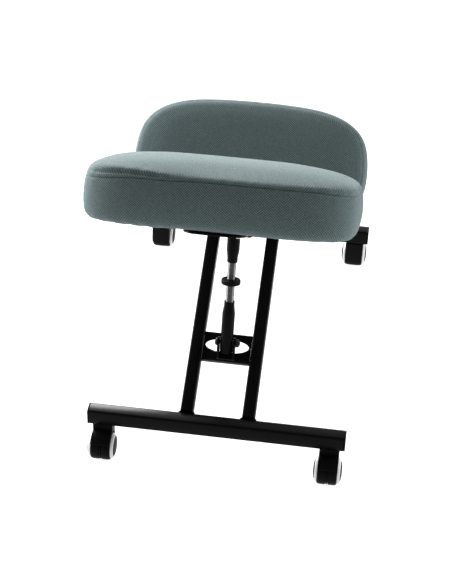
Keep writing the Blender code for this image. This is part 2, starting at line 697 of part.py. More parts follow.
def hood_outline():
    """The hood seen from the side, with its boss under the bar; the stem stands at (0, 0)."""
    axle = (-CASTER_TRAIL, WHEEL_RADIUS)
    inner = WHEEL_RADIUS + HOOD_CLEAR
    outer = inner + HOOD_WALL
    back = math.acos((CASTER_TRAIL - HOOD_BOSS) / outer)
    low = arc(axle, inner, HOOD_TO, HOOD_FROM, 14)
    face = axle[0] + outer
    nose = arc(axle, outer, HOOD_FROM, 0, 3)
    top = [(face, CASTER_HEIGHT), (-HOOD_BOSS, CASTER_HEIGHT)]
    return nose + top + arc(axle, outer, back, HOOD_TO, 8) + low


def web_outline():
    """The web between the wheels: it joins the hood and fills the space round the axle."""
    axle = (-CASTER_TRAIL, WHEEL_RADIUS)
    radius = WHEEL_RADIUS + HOOD_CLEAR + HOOD_WALL / 2
    start, end = HOOD_FROM + WEB_SHORT, HOOD_TO - WEB_SHORT
    rim = arc(axle, radius, start, end, 10)
    low = arc(axle, WHEEL_RADIUS - WEB_RECESS, end, start + 2 * math.pi, 12)
    return rim + low


def hood_corner(side, half):
    """What the hood's closed face loses at a lower corner, drawn in x and z."""
    low = WHEEL_RADIUS + (WHEEL_RADIUS + HOOD_CLEAR + HOOD_WALL) * math.sin(HOOD_FROM) - GAP
    edge = half + GAP
    curve = [(edge - HOOD_CORNER_WIDTH * (1 - math.cos(a)), low + HOOD_CORNER_RISE * (1 - math.sin(a)))
             for a in (math.radians(angle) for angle in (0, 18, 36, 54, 72, 90))]
    past = half + HOOD_WALL
    points = [(past, low - HOOD_WALL), (past, low + HOOD_CORNER_RISE)] + curve
    points.append((edge - HOOD_CORNER_WIDTH, low - HOOD_WALL))
    return [(side * x, z) for x, z in points]


def caster(word, x, y, turn, bar_parent):
    """A twin-wheel caster: hood with its stem, axle, two wheels and their rings."""
    swivel = add_empty(f"caster_swivel_{word}", Vector((x, y, 0)), bar_parent)
    place = Matrix.Translation((x, y, 0)) @ Matrix.Rotation(turn, 4, "Z")
    side_view = place @ sideways((0, 0, 0))
    width = 2 * TREAD_WIDTH + WHEEL_SPACE
    hood = add_piece(f"caster_hood_{word}", smooth(outline_mesh([hood_outline()], width)),
                     "black_plastic", side_view, swivel)
    web = add_cutter(f"web_{word}", outline_mesh([web_outline()], WEB_THICK), side_view)
    nose = HOOD_CLEAR + 3 * HOOD_WALL
    nose_y = WHEEL_RADIUS + HOOD_CLEAR + HOOD_WALL - CASTER_TRAIL - nose / 4
    for side in (-1, 1):
        corner = outline_mesh([hood_corner(side, width / 2)], nose)
        view = place @ frame_along(Vector((0, nose_y, 0)), Vector((0, -1, 0)))
        boolean(hood, add_cutter(f"hood_corner_{word}", corner, view))
    boolean(hood, web, "UNION")
    axle_place = place @ sideways((0, -CASTER_TRAIL, WHEEL_RADIUS))
    boolean(hood, add_cutter(f"axle_hole_{word}", rod_mesh(AXLE_RADIUS + GAP, width, 16), axle_place))
    seat = Matrix.Translation((0, 0, CASTER_HEIGHT))
    stem = rod_mesh(STEM_RADIUS, STEM_SEAT + STEM_REACH, 12)
    rise = Matrix.Translation((0, 0, (STEM_REACH - STEM_SEAT) / 2))
    boolean(hood, add_cutter(f"stem_{word}", stem, place @ seat @ rise), "UNION")
    ring_in = WHEEL_SPACE / 2 + TREAD_WIDTH + DOME - HUB_STEP - RING_WALL
    axle = rod_mesh(AXLE_RADIUS, 2 * (ring_in - GAP), 16)
    add_piece(f"caster_axle_{word}", axle, "zinc", axle_place, swivel)
    outer_side = (1 if x > 0 else -1) * (1 if turn == 0 else -1)
    for side, which in ((outer_side, "outer"), (-outer_side, "inner")):
        spin = add_empty(f"wheel_axis_{word}_{which}", axle_place.translation, swivel)
        facing = axle_place @ (Matrix.Identity(4) if side > 0 else Matrix.Rotation(math.pi, 4, "Y"))
        facet = facing @ Matrix.Rotation(math.pi / WHEEL_STEPS, 4, "Z")
        wheel = turned_mesh(wheel_profile(), WHEEL_STEPS)
        add_piece(f"caster_wheel_{word}_{which}", wheel, "black_plastic", facet, spin)
        ring = turned_mesh(ring_profile(), WHEEL_STEPS, closed=True)
        add_piece(f"wheel_ring_{word}_{which}", ring, "white_plastic", facet, spin)


# Cushions, boards and brackets

def seat_outline(inset, count=CAGE_POINTS):
    half = SEAT_DEPTH / 2 - inset
    return superellipse(SEAT_WIDTH / 2 - inset, half, half, 4.0, 5.0, count)


def seat_levels():
    """The seat cushion's section, from its flat underside over the seam to its crown."""
    seam = SEAT_THICK
    return [(0.060, 0), (0.013, 0), (0.002, 0.009), (0, 0.4 * seam), (0.001, 0.76 * seam),
            (0.005, seam - 0.005), (0.015, seam + 0.002), (0.045, seam + SEAT_CROWN * 0.58),
            (0.090, seam + SEAT_CROWN * 0.88), (0.130, seam + SEAT_CROWN)]


def seat_drop(x, y, z):
    """The seat's top falls away towards its front edge."""
    share = max(y, 0) / (SEAT_DEPTH / 2)
    return z - SEAT_FRONT_DROP * share ** 2.5 * z / SEAT_THICK


def knee_outline(inset, count=CAGE_POINTS):
    return superellipse(KNEE_WIDTH / 2 - inset, KNEE_UPPER - inset, KNEE_LOWER - inset, 3.3, 3.0, count)


def knee_levels():
    """The knee cushion's section, from its flat back over the seam to its crown."""
    seam = KNEE_THICK
    return [(0.045, 0), (0.012, 0), (0.002, 0.010), (0, 0.5 * seam), (0.002, 0.8 * seam),
            (0.008, seam), (0.016, seam + KNEE_CROWN * 0.4), (0.034, seam + KNEE_CROWN * 0.75),
            (0.062, seam + KNEE_CROWN)]


def board(name, outline, frame, parent):
    """A plywood board let into a cushion's back."""
    add_piece(name, outline_mesh([outline(BOARD_INSET, 2 * CAGE_POINTS)], BOARD_THICK), "board",
              frame @ Matrix.Translation((0, 0, BOARD_THICK / 2)), parent)


def cushion(name, outline, mesh, frame, parent):
    """An upholstered cushion with a pocket in its back for the board."""
    piece = add_piece(name, mesh, "fabric", frame, parent)
    soften(piece)
    depth = 2 * (BOARD_THICK + GAP)
    pocket = outline_mesh([outline(BOARD_INSET - GAP, 2 * CAGE_POINTS)], depth)
    boolean(piece, add_cutter(f"{name}_pocket", pocket, frame))


def bracket(name, plate_outline, plate, frame, cheek_points, cheek, cheek_x, parent):
    """A bracket: a plate under a board and two cheeks down the rails' outer sides."""
    mesh = outline_mesh([plate_outline], plate)
    piece = add_piece(name, mesh, "frame_paint",
                      frame @ Matrix.Translation((0, 0, -GAP - plate / 2)), parent)
    outline = [(point.y, point.z) for point in cheek_points]
    for side in (-1, 1):
        place = sideways((side * cheek_x, 0, 0))
        boolean(piece, add_cutter(f"{name}_cheek", outline_mesh([outline], cheek), place), "UNION")


def seat_assembly(parent):
    """The seat: bracket on the seat rails, board and cushion."""
    frame = pad_frame(SEAT_BASE, SEAT_FORE, SEAT_NORMAL)
    length = SEAT_PLATE_FRONT + SEAT_PLATE_REAR
    middle = (SEAT_PLATE_FRONT - SEAT_PLATE_REAR) / 2
    shape = [(x, y + middle) for x, y in rounded_rectangle(SEAT_PLATE_WIDTH, length, SEAT_PLATE_CORNER, 6)]
    under = SEAT_NORMAL * (GAP + SEAT_PLATE / 2)
    rail_low = SEAT_UP * (-SEAT_RAIL_DEPTH * 0.3)
    cheek_points = [SEAT_BASE + SEAT_FORE * (SEAT_SET_BACK - 0.02) - under,
                    PIVOT + SEAT_DIR * SEAT_RAIL_REACH + rail_low,
                    PIVOT + SEAT_DIR * (SEAT_RAIL_REACH - SEAT_PLATE_FRONT * 0.45) + rail_low,
                    SEAT_BASE + SEAT_FORE * (SEAT_PLATE_FRONT * 0.96) - under]
    cheek_x = SEAT_RAIL_X + SEAT_RAIL_WIDTH / 2 + GAP + SEAT_CHEEK / 2
    bracket("seat_bracket", shape, SEAT_PLATE, frame, cheek_points, SEAT_CHEEK, cheek_x, parent)
    board("seat_board", seat_outline, frame, parent)
    cushion("seat_cushion", seat_outline, cushion_mesh(seat_outline, seat_levels(), seat_drop), frame, parent)


def knee_assembly(parent):
    """The knee pad: bracket on the knee rails, board and cushion."""
    frame = pad_frame(KNEE_BASE, KNEE_FORE, KNEE_NORMAL)
    cheek_x = RAIL_X + RAIL_WIDTH / 2 + GAP + KNEE_CHEEK / 2
    width = 2 * cheek_x + KNEE_CHEEK
    half = KNEE_PLATE_LENGTH / 2
    shape = rounded_rectangle(width, KNEE_PLATE_LENGTH, KNEE_CHEEK)
    under = KNEE_NORMAL * (GAP + KNEE_PLATE / 2)
    rail_low = RAIL_UP * (-RAIL_DEPTH * 0.3)
    tip = REAR_ORIGIN + RAIL_DIR * RAIL_LENGTH
    cheek_points = [KNEE_BASE - KNEE_FORE * (half * 0.98) - under,
                    tip - RAIL_DIR * (KNEE_PLATE_LENGTH * 0.48) + rail_low,
                    tip - RAIL_DIR * KNEE_CHEEK + rail_low,
                    KNEE_BASE + KNEE_FORE * (half * 0.98) - under]
    bracket("knee_bracket", shape, KNEE_PLATE, frame, cheek_points, KNEE_CHEEK, cheek_x, parent)
    board("knee_board", knee_outline, frame, parent)
    cushion("knee_cushion", knee_outline, cushion_mesh(knee_outline, knee_levels()), frame, parent)


def build():
    knee_frame = add_empty("knee_frame", REAR_ORIGIN)
    seat_frame = add_empty("seat_pivot", PIVOT, knee_frame)
    lower_swing = add_empty("lower_swing", LOWER_PIN, knee_frame)
    screw_slide = add_empty("screw_slide", HAND_WHEEL_PLACE, lower_swing)
    wheel_spin = add_empty("hand_wheel_spin", HAND_WHEEL_PLACE, screw_slide)
    upper_slide = add_empty("upper_slide", UPPER_PIN, screw_slide)
    base_bar("rear_bar", REAR_BAR_Y, knee_frame)
    base_bar("front_bar", FRONT_BAR_Y, seat_frame)
    knee_rails(knee_frame)
    seat_rails(seat_frame)
    cross_plate(knee_frame)
    clevis(knee_frame)
    bolt_and_nut("lower", LOWER_PIN, PIN_RADIUS, BOLT_HEAD_RADIUS, BOLT_HEAD, CLEVIS_OUTSIDE, knee_frame)
    pivot(knee_frame)
    upper_pin(seat_frame)
    turnbuckle(lower_swing, screw_slide, wheel_spin, upper_slide)
    for side, hand in ((-1, "left"), (1, "right")):
        x = side * CASTER_SPREAD / 2
        caster(f"rear_{hand}", x, REAR_BAR_Y, 0, knee_frame)
        caster(f"front_{hand}", x, FRONT_BAR_Y, math.pi, seat_frame)
    seat_assembly(seat_frame)
    knee_assembly(knee_frame)


build()
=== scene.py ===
"""Looks of a kneeling chair: upholstered pads, painted frame, turnbuckle and casters.

The chair stands on the floor with +Y the way the sitter faces. Lengths are metres.
"""
import json
import math
import random
from contextlib import contextmanager
from dataclasses import dataclass
from functools import cache

import bmesh
import bpy
import numpy as np
from bpy.props import FloatProperty, FloatVectorProperty, IntProperty, PointerProperty
from mathutils import Matrix, Vector

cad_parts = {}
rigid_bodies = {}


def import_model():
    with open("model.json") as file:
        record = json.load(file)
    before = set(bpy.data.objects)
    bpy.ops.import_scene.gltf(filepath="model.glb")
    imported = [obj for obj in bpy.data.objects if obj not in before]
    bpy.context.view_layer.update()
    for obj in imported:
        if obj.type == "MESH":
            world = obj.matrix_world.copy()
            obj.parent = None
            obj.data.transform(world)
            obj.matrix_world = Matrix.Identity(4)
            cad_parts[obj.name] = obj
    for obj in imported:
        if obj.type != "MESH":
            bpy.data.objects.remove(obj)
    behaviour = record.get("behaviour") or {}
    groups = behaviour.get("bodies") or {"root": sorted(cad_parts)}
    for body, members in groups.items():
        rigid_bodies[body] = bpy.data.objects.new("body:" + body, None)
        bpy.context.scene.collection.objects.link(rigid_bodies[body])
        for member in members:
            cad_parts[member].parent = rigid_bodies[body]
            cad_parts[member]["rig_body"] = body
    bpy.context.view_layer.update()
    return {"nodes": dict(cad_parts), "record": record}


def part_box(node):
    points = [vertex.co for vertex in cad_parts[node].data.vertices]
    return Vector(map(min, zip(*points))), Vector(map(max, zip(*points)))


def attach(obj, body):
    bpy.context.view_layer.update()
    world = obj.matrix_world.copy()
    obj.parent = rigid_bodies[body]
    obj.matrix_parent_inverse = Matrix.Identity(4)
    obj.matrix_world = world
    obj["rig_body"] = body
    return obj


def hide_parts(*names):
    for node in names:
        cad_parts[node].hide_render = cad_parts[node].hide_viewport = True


bl_info = {
    "name": "Kneeling Chair Looks",
    "version": (1, 0, 0),
    "blender": (4, 5, 0),
    "location": "3D View > Sidebar > Chair",
    "description": "Upholstery, paint, hardware and stage for a kneeling chair",
    "category": "Object",
}

for leftover in list(bpy.data.objects):
    bpy.data.objects.remove(leftover, do_unlink=True)
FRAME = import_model()
BODY_OF = {node: piece["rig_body"] for node, piece in FRAME["nodes"].items()}
SLOT_OF = {row["node"]: row["material_slot"] for row in FRAME["record"]["subparts"]}
CORNERS = ("rear_left", "rear_right", "front_left", "front_right")
HANDS = ("left", "right")
X_AXIS = Vector((1, 0, 0))


def middle(node):
    """The middle of a CAD node's box."""
    low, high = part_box(node)
    return (low + high) / 2


def on_plane(node):
    """A node's middle, moved to the chair's plane of symmetry."""
    place = middle(node)
    place.x = 0
    return place


LOWER_PIN = on_plane("lower_nut")
UPPER_PIN = on_plane("upper_nut")
HAND_WHEEL_PLACE = on_plane("screw_rod")
SCREW_DIR = (UPPER_PIN - LOWER_PIN).normalized()
CLEARANCE = 0.0003
PIN_RADII = {"pivot": 0.005, "upper": 0.004, "lower": 0.004}
HEAD_SEATS = {"pivot": "knee_rail_left", "upper": "seat_rail_left", "lower": "lower_clevis"}


# Sizes and colours a user would change

def length(label, text, default):
    return FloatProperty(name=label, description=text, default=default, min=0, unit="LENGTH", precision=4)


def slope(label, text, degrees):
    return FloatProperty(name=label, description=text, default=math.radians(degrees), subtype="ANGLE")


def power(label, text, watts):
    return FloatProperty(name=label, description=text, default=watts, unit="POWER")


def colour(label, text, default):
    return FloatVectorProperty(
        name=label, description=text, default=default, size=3, min=0, max=1, subtype="COLOR")


class PadSizes(bpy.types.PropertyGroup):
    """Sizes of the seat, the knee pad and their covers."""

    seat_width: length("Seat Width", "Width of the seat cushion", 0.422)
    seat_depth: length("Seat Depth", "Front to rear of the seat cushion", 0.330)
    seat_thick: length("Seat Thickness", "From the seat's underside to its seam", 0.086)
    seat_crown: length("Seat Crown", "Rise of the seat's top over its seam", 0.0125)
    seat_drop: length("Seat Front Drop", "How far the seat's front edge falls away", 0.021)
    seat_tilt: slope("Seat Tilt", "Forward slope of the seat", 30)
    knee_width: length("Knee Pad Width", "Width of the knee cushion", 0.419)
    knee_upper: length("Knee Pad Upper Half", "From the pad's middle to its upper edge", 0.120)
    knee_lower: length("Knee Pad Lower Half", "From the pad's middle to its lower edge", 0.086)
    knee_thick: length("Knee Pad Thickness", "From the pad's back to its seam", 0.050)
    knee_crown: length("Knee Pad Crown", "Rise of the knee pad's face over its seam", 0.012)
    knee_tilt: slope("Knee Pad Tilt", "Rearward slope of the knee pad", 42)
    board_thick: length("Board Thickness", "Thickness of the boards under the pads", 0.010)
    board_inset: length("Board Inset", "From a cushion's edge to its board's edge", 0.030)
    seam_depth: length("Seam Depth", "How far the seam is drawn in", 0.0018)
    seam_roll: length("Seam Roll", "How far the top panel rolls out over its seam", 0.0009)
    pucker: length("Pucker", "Height of the gathers along a seam", 0.0007)
    crease: length("Crease", "Depth of the fold over the seat's left rear seam", 0.0036)
    scallop: length("Hem Scallop", "Sag of the cover between its staples", 0.0021)
    staple_pitch: length("Staple Spacing", "Distance between staples under a pad", 0.029)
    swell: length("Swell", "Most that the filling may push the cover out", 0.006)
    thread_pitch: length("Cloth Thread", "Width of one thread of the cover's weave", 0.0021)


class HardwareSizes(bpy.types.PropertyGroup):
    """Sizes of the turnbuckle, the casters and the small hardware."""

    rod_radius: length("Rod Radius", "Outer radius of the threaded rod", 0.007)
    rod_half: length("Rod Half Length", "Half the threaded rod's length", 0.0715)
    screw_pitch: length("Screw Pitch", "Pitch of the rod's threads", 0.002)
    grip_radius: length("Hand Wheel Radius", "Outer radius of the hand wheel", 0.0165)
    grip_thick: length("Hand Wheel Thickness", "Thickness of the hand wheel's rim", 0.008)
    grip_flutes: IntProperty(name="Hand Wheel Flutes", description="Grip flutes round the rim", default=30)
    tyre_radius: length("Caster Wheel Radius", "Radius of a caster's wheels", 0.025)
    tread_width: length("Tread Width", "Width of one caster wheel's tread", 0.015)
    wheel_space: length("Wheel Space", "Gap between a caster's two wheels", 0.004)
    dome: length("Wheel Dome", "How far a wheel's side stands out", 0.0078)
    hub_radius: length("Hub Radius", "Radius of a wheel's dark hub", 0.0176)
    ring_radius: length("Ring Radius", "Outer radius of a wheel's pale ring", 0.0222)
    plate_sheet: length("Plate Sheet", "Thickness of the plate between the rails", 0.003)
    plate_bend: length("Plate Bend", "Outer radius of the plate's folds", 0.004)
    plate_raise: length("Plate Raise", "How far the plate's upper edge is drawn on", 0.0032)
    oval_width: length("Oval Width", "Width of the plate's opening", 0.0755)
    oval_height: length("Oval Height", "Height of the plate's opening", 0.0264)
    oval_raise: length("Oval Raise", "From the plate's middle to its opening's middle", 0.0020)
    bead: length("Weld Bead", "Half width of a weld bead", 0.0022)


class ChairColours(bpy.types.PropertyGroup):
    """Base colours of the chair's finishes."""

    fabric: colour("Cover", "Woven cover of the pads", (0.0935, 0.1250, 0.1275))
    paint: colour("Frame Paint", "Powder coat of the frame", (0.0030, 0.0030, 0.0033))
    plastic: colour("Black Plastic", "Caps, hand wheel and casters", (0.0030, 0.0030, 0.0033))
    ring: colour("Pale Plastic", "Rings on the caster wheels", (0.58, 0.58, 0.57))
    steel: colour("Rod Steel", "Oiled steel of the threaded rod", (0.12, 0.12, 0.123))
    oxide: colour("Black Oxide", "Bolts and nuts", (0.012, 0.012, 0.013))
    zinc: colour("Zinc", "Plated screws, staples and axles", (0.56, 0.57, 0.59))
    nylon: colour("Nylon", "Washers and spacers", (0.62, 0.61, 0.56))
    board: colour("Board", "Plywood under the pads", (0.36, 0.25, 0.15))


class StageSettings(bpy.types.PropertyGroup):
    """Camera and lights."""

    lens: FloatProperty(name="Lens", description="Camera focal length", default=95.86, unit="CAMERA")
    camera_place: FloatVectorProperty(
        name="Camera Place", description="Where the camera stands", size=3,
        default=(0.2392, -2.1854, 1.8975), subtype="TRANSLATION")
    azimuth: slope("Azimuth", "Camera turn round the chair", 6.805)
    elevation: slope("Elevation", "Camera height over the horizon", 38.251)
    roll: slope("Roll", "Camera lean", 1.646)
    key_power: power("Key Light", "Power of the light from the front", 300)
    side_power: power("Side Lights", "Power of the lamps beside the chair", 52)
    sky: FloatProperty(name="Sky", description="Strength of the even studio light", default=0.485)


def pads():
    return bpy.context.scene.chair_pads


def hardware():
    return bpy.context.scene.chair_hardware


# Meshes and objects

def configure(item, **settings):
    for key, value in settings.items():
        setattr(item, key, value)
    return item


def mesh_from(name, points, faces, edges=()):
    mesh = bpy.data.meshes.new(name)
    mesh.from_pydata([tuple(point) for point in points], edges, faces)
    mesh.validate()
    return mesh


def grid_faces(rows, columns, loop_rows, loop_columns):
    """Quads over points kept row by row; a looped side joins up with its start."""
    faces = []
    for row in range(rows if loop_rows else rows - 1):
        here, there = row * columns, (row + 1) % rows * columns
        for column in range(columns if loop_columns else columns - 1):
            after = (column + 1) % columns
            faces.append((here + column, here + after, there + after, there + column))
    return faces


@contextmanager
def editing(mesh):
    """A mesh opened for editing and then written back."""
    work = bmesh.new()
    work.from_mesh(mesh)
    yield work
    work.to_mesh(mesh)
    work.free()


def outward(mesh):
    """Merge a closed mesh's doubles and point its faces out."""
    with editing(mesh) as work:
        bmesh.ops.remove_doubles(work, verts=work.verts, dist=1e-6)
        bmesh.ops.recalc_face_normals(work, faces=work.faces)
    return mesh


def soft_edges(mesh, degrees=35):
    mesh.shade_smooth()
    mesh.set_sharp_from_angle(angle=math.radians(degrees))
    return mesh


def spots_of(mesh):
    return np.array([point.co for point in mesh.vertices])


def add_object(name, data, material=None):
    piece = bpy.data.objects.new(name, data)
    bpy.context.scene.collection.objects.link(piece)
    if material is not None:
        data.materials.clear()
        data.materials.append(material)
    return piece


def helper_shape(name, mesh):
    return configure(add_object(name, mesh), hide_render=True)


def drop_shape(shape):
    bpy.data.objects.remove(shape, do_unlink=True)


def fit(piece, body, slot, *nodes):
    """Let a finished piece ride on its body and stand for CAD nodes, which are hidden; slot is not used."""
    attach(piece, body)
    if nodes:
        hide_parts(*nodes)


def stand_in(node, mesh, material):
    """Put a finished mesh in the place of a CAD node."""
    fit(add_object(f"{node}_finish", mesh, material), BODY_OF[node], SLOT_OF[node], node)


def modify(piece, label, kind, **settings):
    return configure(piece.modifiers.new(label, kind), **settings)


def round_edges(piece, width, segments, degrees, **settings):
    modify(piece, "Rounded edges", "BEVEL", width=width, segments=segments, limit_method="ANGLE",
           angle_limit=math.radians(degrees), **settings)


def carve(piece, label, mesh):
    """Cut a mesh's shape out of an object, once that is baked."""
    modify(piece, label, "BOOLEAN", solver="EXACT", object=helper_shape(f"{label}_cutter", mesh))


def baked(piece):
    """A plain mesh of an object with its modifiers."""
    bpy.context.view_layer.update()
    graph = bpy.context.evaluated_depsgraph_get()
    return bpy.data.meshes.new_from_object(piece.evaluated_get(graph))


def bake(piece):
    """Give an object the plain mesh of its modifiers, and remove those with their cutters."""
    result = baked(piece)
    cutters = [item.object for item in piece.modifiers if item.type == "BOOLEAN"]
    piece.modifiers.clear()
    piece.data = result
    for cutter in cutters:
        drop_shape(cutter)
    return result


def settle(piece, node, degrees):
    """Bake a piece and let it stand for a CAD node."""
    soft_edges(bake(piece), degrees)
    fit(piece, BODY_OF[node], SLOT_OF[node], node)


def frame_along(origin, direction, side=X_AXIS):
    """A frame whose Z runs along direction and whose X is side."""
    matrix = Matrix((side, direction.cross(side), direction)).transposed().to_4x4()
    matrix.translation = origin
    return matrix


def across(origin):
    """A frame whose Z runs along the chair's X."""
    return frame_along(Vector(origin), X_AXIS, Vector((0, 1, 0)))


def turned(name, profile, matrix, segments=64, closed=False, flute=None):
    """A turned solid from (radius, height) points; flute gives a share of radius by angle and point."""
    points = []
    for step in range(segments):
        angle = 2 * math.pi * step / segments
        for index, (radius, height) in enumerate(profile):
            reach = radius * (flute(angle, index) if flute else 1)
            points.append(matrix @ Vector((reach * math.cos(angle), reach * math.sin(angle), height)))
    faces = grid_faces(segments, len(profile), True, closed)
    return soft_edges(outward(mesh_from(name, points, faces)))


def rounded(profile, radius, steps=4, closed=False):
    """A profile with its corners rounded by arcs of up to radius."""
    points = [Vector(point) for point in profile]
    count = len(points)
    result = []
    for index, corner in enumerate(points):
        if not closed and index in (0, count - 1):
            result.append(tuple(corner))
            continue
        before = points[index - 1] - corner
        after = points[(index + 1) % count] - corner
        reach = min(radius, 0.45 * before.length, 0.45 * after.length)
        start = corner + before.normalized() * reach
        end = corner + after.normalized() * reach
        for share in np.arange(steps + 1) / steps:
            result.append(tuple(start.lerp(corner, share).lerp(corner.lerp(end, share), share)))
    return result


def arc(centre, radius, degrees):
    """Points of an arc at the given angles."""
    return [(centre[0] + radius * math.cos(a), centre[1] + radius * math.sin(a)) for a in np.radians(degrees)]


def rod_profile(radius, half):
    return [(0, -half), (radius, -half), (radius, half), (0, half)]


def tube_profile(bore, radius, low, high):
    return [(bore, low), (radius, low), (radius, high), (bore, high)]


def dressed(node, material, bevel, segments=2, degrees=32):
    """A copy of a CAD node with its edges rounded, which stands for the node."""
    mesh = FRAME["nodes"][node].data.copy()
    with editing(mesh) as work:
        bmesh.ops.remove_doubles(work, verts=work.verts, dist=2e-5)
        bmesh.ops.dissolve_limit(work, angle_limit=math.radians(0.6), verts=work.verts, edges=work.edges)
    piece = add_object(f"{node}_finish", mesh, material)
    round_edges(piece, bevel, segments, degrees, miter_outer="MITER_ARC")
    settle(piece, node, 40)


# Node trees

def feed(tree, node, feeds):
    """Give a node's inputs sockets, which are linked, or plain values."""
    for key, value in feeds.items():
        if isinstance(value, bpy.types.NodeSocket):
            tree.links.new(value, node.inputs[key])
        else:
            node.inputs[key].default_value = value


def add_node(tree, kind, feeds=None, **settings):
    node = configure(tree.nodes.new(kind), **settings)
    feed(tree, node, feeds or {})
    return node


def calc(tree, operation, *values):
    return add_node(tree, "ShaderNodeMath", dict(enumerate(values)), operation=operation).outputs[0]


def mixed(tree, factor, first, second, blend="MIX"):
    """A colour mixed from two, each a socket or a plain colour."""
    first, second = (value if isinstance(value, bpy.types.NodeSocket) else (*value, 1)
                     for value in (first, second))
    feeds = {"Factor": factor, 6: first, 7: second}
    return add_node(tree, "ShaderNodeMix", feeds, data_type="RGBA", blend_type=blend).outputs[2]


def picked(tree, factor, first, second):
    """A number between two, by a factor."""
    return add_node(tree, "ShaderNodeMix", {"Factor": factor, 2: first, 3: second}).outputs[0]


def ranged(tree, value, low, high, start=0.0, blend="LINEAR"):
    feeds = {"Value": value, "From Min": start, "To Min": low, "To Max": high}
    return add_node(tree, "ShaderNodeMapRange", feeds, interpolation_type=blend).outputs[0]


def bumped(tree, height, strength, distance):
    feeds = {"Strength": strength, "Distance": distance, "Height": height}
    return add_node(tree, "ShaderNodeBump", feeds).outputs["Normal"]


def noise(tree, vector, scale, detail, **more):
    feeds = {"Vector": vector, "Scale": scale, "Detail": detail, **more}
    return add_node(tree, "ShaderNodeTexNoise", feeds).outputs["Fac"]


def new_group(name, kind, inputs, outputs):
    """A node group, its given values and its result; a socket has a name, a type and perhaps a default."""
    tree = bpy.data.node_groups.new(name, kind)
    for label, socket, *default in inputs:
        made = tree.interface.new_socket(label, in_out="INPUT", socket_type=f"NodeSocket{socket}")
        if default:
            made.default_value = default[0]
    for label, socket in outputs:
        tree.interface.new_socket(label, in_out="OUTPUT", socket_type=f"NodeSocket{socket}")
    return tree, tree.nodes.new("NodeGroupInput").outputs, tree.nodes.new("NodeGroupOutput")


@cache
def grain_group():
    """Fine surface grain: a height for bump, a slow blotch and a scuff mask."""
    tree, given, result = new_group(
        "Surface Grain", "ShaderNodeTree",
        [("Vector", "Vector"), ("Grain Scale", "Float", 900.0), ("Blotch Scale", "Float", 14.0)],
        [("Height", "Float"), ("Blotch", "Float"), ("Scuff", "Float")])
    place, slow = given["Vector"], given["Blotch Scale"]
    patches = noise(tree, place, calc(tree, "MULTIPLY", slow, 7.0), 8, Roughness=0.7)
    ramp = add_node(tree, "ShaderNodeValToRGB", {"Fac": patches})
    for element, share in zip(ramp.color_ramp.elements, (0.62, 0.78)):
        element.position = share
    feed(tree, result, {"Height": noise(tree, place, given["Grain Scale"], 3),
                        "Blotch": noise(tree, place, slow, 4), "Scuff": ramp.outputs["Color"]})
    return tree


@cache
def weave_group():
    """A plain weave on a map in metres: thread height, thread tone with painted shade where the threads dip,
    and yarn fuzz.
    """
    tree, given, result = new_group(
        "Plain Weave", "ShaderNodeTree", [("Vector", "Vector"), ("Thread", "Float", 0.002)],
        [("Height", "Float"), ("Tone", "Float"), ("Fuzz", "Float")])
    spot = add_node(tree, "ShaderNodeSeparateXYZ", {0: given["Vector"]}).outputs
    lanes = {axis: calc(tree, "DIVIDE", spot[axis], given["Thread"]) for axis in "XY"}
    waves = [calc(tree, "SINE", calc(tree, "MULTIPLY", lane, math.pi)) for lane in lanes.values()]
    which = calc(tree, "GREATER_THAN", calc(tree, "MULTIPLY", *waves), 0.0)
    height = picked(tree, which, *(calc(tree, "ABSOLUTE", wave) for wave in waves))
    cells = {axis: calc(tree, "FLOOR", lane) for axis, lane in lanes.items()}
    cell = add_node(tree, "ShaderNodeCombineXYZ", cells)
    yarn = add_node(tree, "ShaderNodeTexWhiteNoise", {"Vector": cell.outputs[0]}, noise_dimensions="2D")
    # Tone: a two-tone warp and weft and a random yarn tone, plus painted shade from the thread height, darker
    # where the threads dip.
    tone = 0.0
    for value, share in ((which, 0.55), (height, 0.30), (yarn.outputs["Value"], 0.15)):
        tone = calc(tree, "MULTIPLY_ADD", value, share, tone)
    feed(tree, result, {"Height": height, "Tone": tone, "Fuzz": noise(tree, given["Vector"], 260.0, 5)})
    return tree


def grain(tree, grain_scale, blotch_scale=14.0):
    """The grain group's outputs on a piece."""
    place = add_node(tree, "ShaderNodeTexCoord").outputs["Object"]
    feeds = {"Vector": place, "Grain Scale": grain_scale, "Blotch Scale": blotch_scale}
    return add_node(tree, "ShaderNodeGroup", feeds, node_tree=grain_group()).outputs


def new_material(name):
    material = bpy.data.materials.new(name)
    material.use_nodes = True
    tree = material.node_tree
    return material, tree, tree.nodes["Principled BSDF"]


def tint(key, *factors):
    """Shades of one of the chair's colours."""
    base = getattr(bpy.context.scene.chair_colours, key)
    return [tuple(min(1.0, channel * factor) for channel in base) for factor in factors]


# By colour: name, darkest and lightest tone, roughness, grain scale, bump and further shader values
METAL = {"Metallic": 1.0}
DULL = {"Specular IOR Level": 0.04}
FINISHES = {
    "paint": ("Satin powder coat", (0.75, 1.35), (0.22, 0.30), 850, (0.08, 0.0003), DULL),
    "plastic": ("Moulded black plastic", (0.8, 1.4), (0.36, 0.50), 1400, (0.22, 0.0003), DULL),
    "ring": ("Pale wheel ring", (0.92, 1.05), (0.34, 0.46), 900, (0.10, 0.0002), {}),
    "zinc": ("Zinc plate", (0.80, 1.12), (0.22, 0.36), 1800, (0.12, 0.0002), METAL),
    "steel": ("Oiled steel", (0.75, 1.25), (0.24, 0.34), 1800, (0.12, 0.0002),
              {**METAL, "Specular Tint": (0.2, 0.2, 0.2, 1)}),
    "oxide": ("Black oxide", (0.8, 1.3), (0.28, 0.40), 1600, (0.12, 0.0002), {"Specular IOR Level": 0.2}),
    "nylon": ("Natural nylon", (0.92, 1.06), (0.40, 0.55), 700, (0.10, 0.0002), {}),
}


